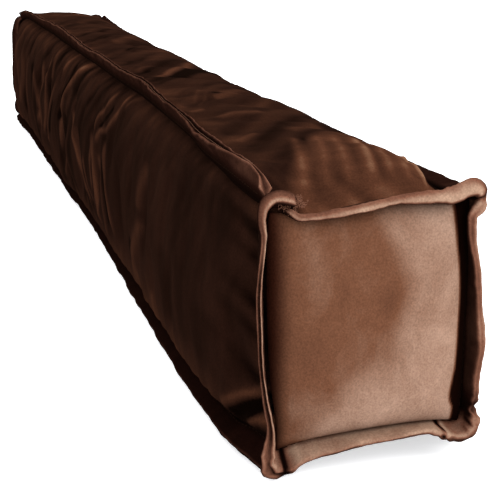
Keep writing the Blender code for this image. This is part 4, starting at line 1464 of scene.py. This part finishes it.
class EXCLUDER_OT_studio(bpy.types.Operator):
    """Set up the pale floor, the soft lights and the camera"""

    bl_idname = "excluder.studio"
    bl_label = "Studio"

    def execute(self, context):
        colours = context.scene.excluder_colours
        scene = context.scene
        deselect_all()
        bpy.ops.mesh.primitive_plane_add(size=FLOOR_SIZE, location=(0, 0, -FLOOR_GAP))
        floor = context.active_object
        floor.name = "floor"
        floor.data.materials.append(lit_acrylic("opal_acrylic", colours.floor))
        scene.world = studio_air()
        add_softbox("key", place=(1.5, 1.2, 1.3), aim=(0.45, 0.0, 0.05), size=1.0, power=16.0)
        add_camera(scene)
        scene.view_settings.view_transform = "Standard"
        scene.view_settings.look = "None"
        return {"FINISHED"}


def studio_air():
    """White all round, brighter on the side that the light comes from."""
    world = bpy.data.worlds.new("studio_air")
    world.use_nodes = True
    tree = world.node_tree
    way = add_node(tree, "ShaderNodeTexCoord").outputs["Generated"]
    toward = add_node(
        tree, "ShaderNodeVectorMath", {"operation": "DOT_PRODUCT"},
        {0: way, 1: Vector(LIGHT_WAY).normalized()},
    )
    level = add_node(tree, "ShaderNodeMapRange", inputs={
        "Value": toward.outputs["Value"], "From Min": -0.8, "From Max": 1.0, "To Min": 0.40,
        "To Max": 2.4,
    })
    background = tree.nodes["Background"]
    background.inputs["Color"].default_value = (1, 1, 1, 1)
    tree.links.new(level.outputs["Result"], background.inputs["Strength"])
    return world


def add_softbox(name, place, aim, size, power):
    """A square soft light at a place, turned to its aim."""
    deselect_all()
    bpy.ops.object.light_add(type="AREA", location=place)
    light = bpy.context.active_object
    light.name = light.data.name = name
    light.data.shape = "SQUARE"
    light.data.size = size
    light.data.energy = power
    light.rotation_euler = (Vector(aim) - Vector(place)).to_track_quat("-Z", "Y").to_euler()


def add_camera(scene):
    deselect_all()
    bpy.ops.object.camera_add(location=CAMERA_PLACE)
    camera = bpy.context.active_object
    back = Vector((
        math.cos(CAMERA_HEIGHT) * math.cos(CAMERA_TURN),
        math.cos(CAMERA_HEIGHT) * math.sin(CAMERA_TURN),
        math.sin(CAMERA_HEIGHT),
    ))
    level = (-back).cross(Vector((0, 0, 1))).normalized()
    upright = back.cross(level)
    right = level * math.cos(CAMERA_ROLL) + upright * math.sin(CAMERA_ROLL)
    up = upright * math.cos(CAMERA_ROLL) - level * math.sin(CAMERA_ROLL)
    turned = Matrix((right, up, back)).transposed()
    camera.rotation_euler = turned.to_euler()
    camera.data.sensor_width = SENSOR_WIDTH
    camera.data.lens = FOCAL_PIXELS / PICTURE_WIDTH * SENSOR_WIDTH
    camera.data.clip_start = 0.05
    scene.camera = camera


class EXCLUDER_PT_pieces(bpy.types.Panel):
    """Lists the pieces of the draught excluder"""

    bl_idname = "EXCLUDER_PT_pieces"
    bl_label = "Draught Excluder"
    bl_space_type = "VIEW_3D"
    bl_region_type = "UI"
    bl_category = "Excluder"

    def draw(self, context):
        layout = self.layout
        for maker in OPERATORS:
            layout.operator(maker.bl_idname)
        for group in (context.scene.excluder_sizes, context.scene.excluder_colours):
            box = layout.box()
            for name in group.__annotations__:
                box.prop(group, name)


OPERATORS = (
    EXCLUDER_OT_filled_run,
    EXCLUDER_OT_end_panels,
    EXCLUDER_OT_flanges,
    EXCLUDER_OT_stitches,
    EXCLUDER_OT_frayed_ends,
    EXCLUDER_OT_studio,
)
CLASSES = (ExcluderSizes, ExcluderColours, *OPERATORS, EXCLUDER_PT_pieces)


def register():
    for each in CLASSES:
        bpy.utils.register_class(each)
    bpy.types.Scene.excluder_sizes = bpy.props.PointerProperty(type=ExcluderSizes)
    bpy.types.Scene.excluder_colours = bpy.props.PointerProperty(type=ExcluderColours)


def unregister():
    del bpy.types.Scene.excluder_colours
    del bpy.types.Scene.excluder_sizes
    for each in reversed(CLASSES):
        bpy.utils.unregister_class(each)


def make_materials(scene):
    sizes, colours = scene.excluder_sizes, scene.excluder_colours
    for part, (uneven_share, brushed) in BRUSHED.items():
        tones = [getattr(colours, part + "_" + tone) for tone in ("deep", "mid", "lit")]
        MATERIALS[part] = cotton_velvet("cotton_velvet_" + part, tones, uneven_share, brushed, sizes)
    # painted shade: the thread's colour darkened for stitches deep in a seam
    deep = [c * SHADED_THREAD_SHARE for c in colours.thread]
    MATERIALS["thread"] = spun_polyester("spun_polyester_thread", colours.thread)
    MATERIALS["loose_thread"] = spun_polyester("spun_polyester_loose", colours.loose_thread)
    MATERIALS["deep_thread"] = spun_polyester("spun_polyester_deep", deep)


def main():
    register()
    make_materials(bpy.context.scene)
    for maker in OPERATORS:
        group, name = maker.bl_idname.split(".")
        getattr(getattr(bpy.ops, group), name)()


if __name__ == "__main__":
    main()
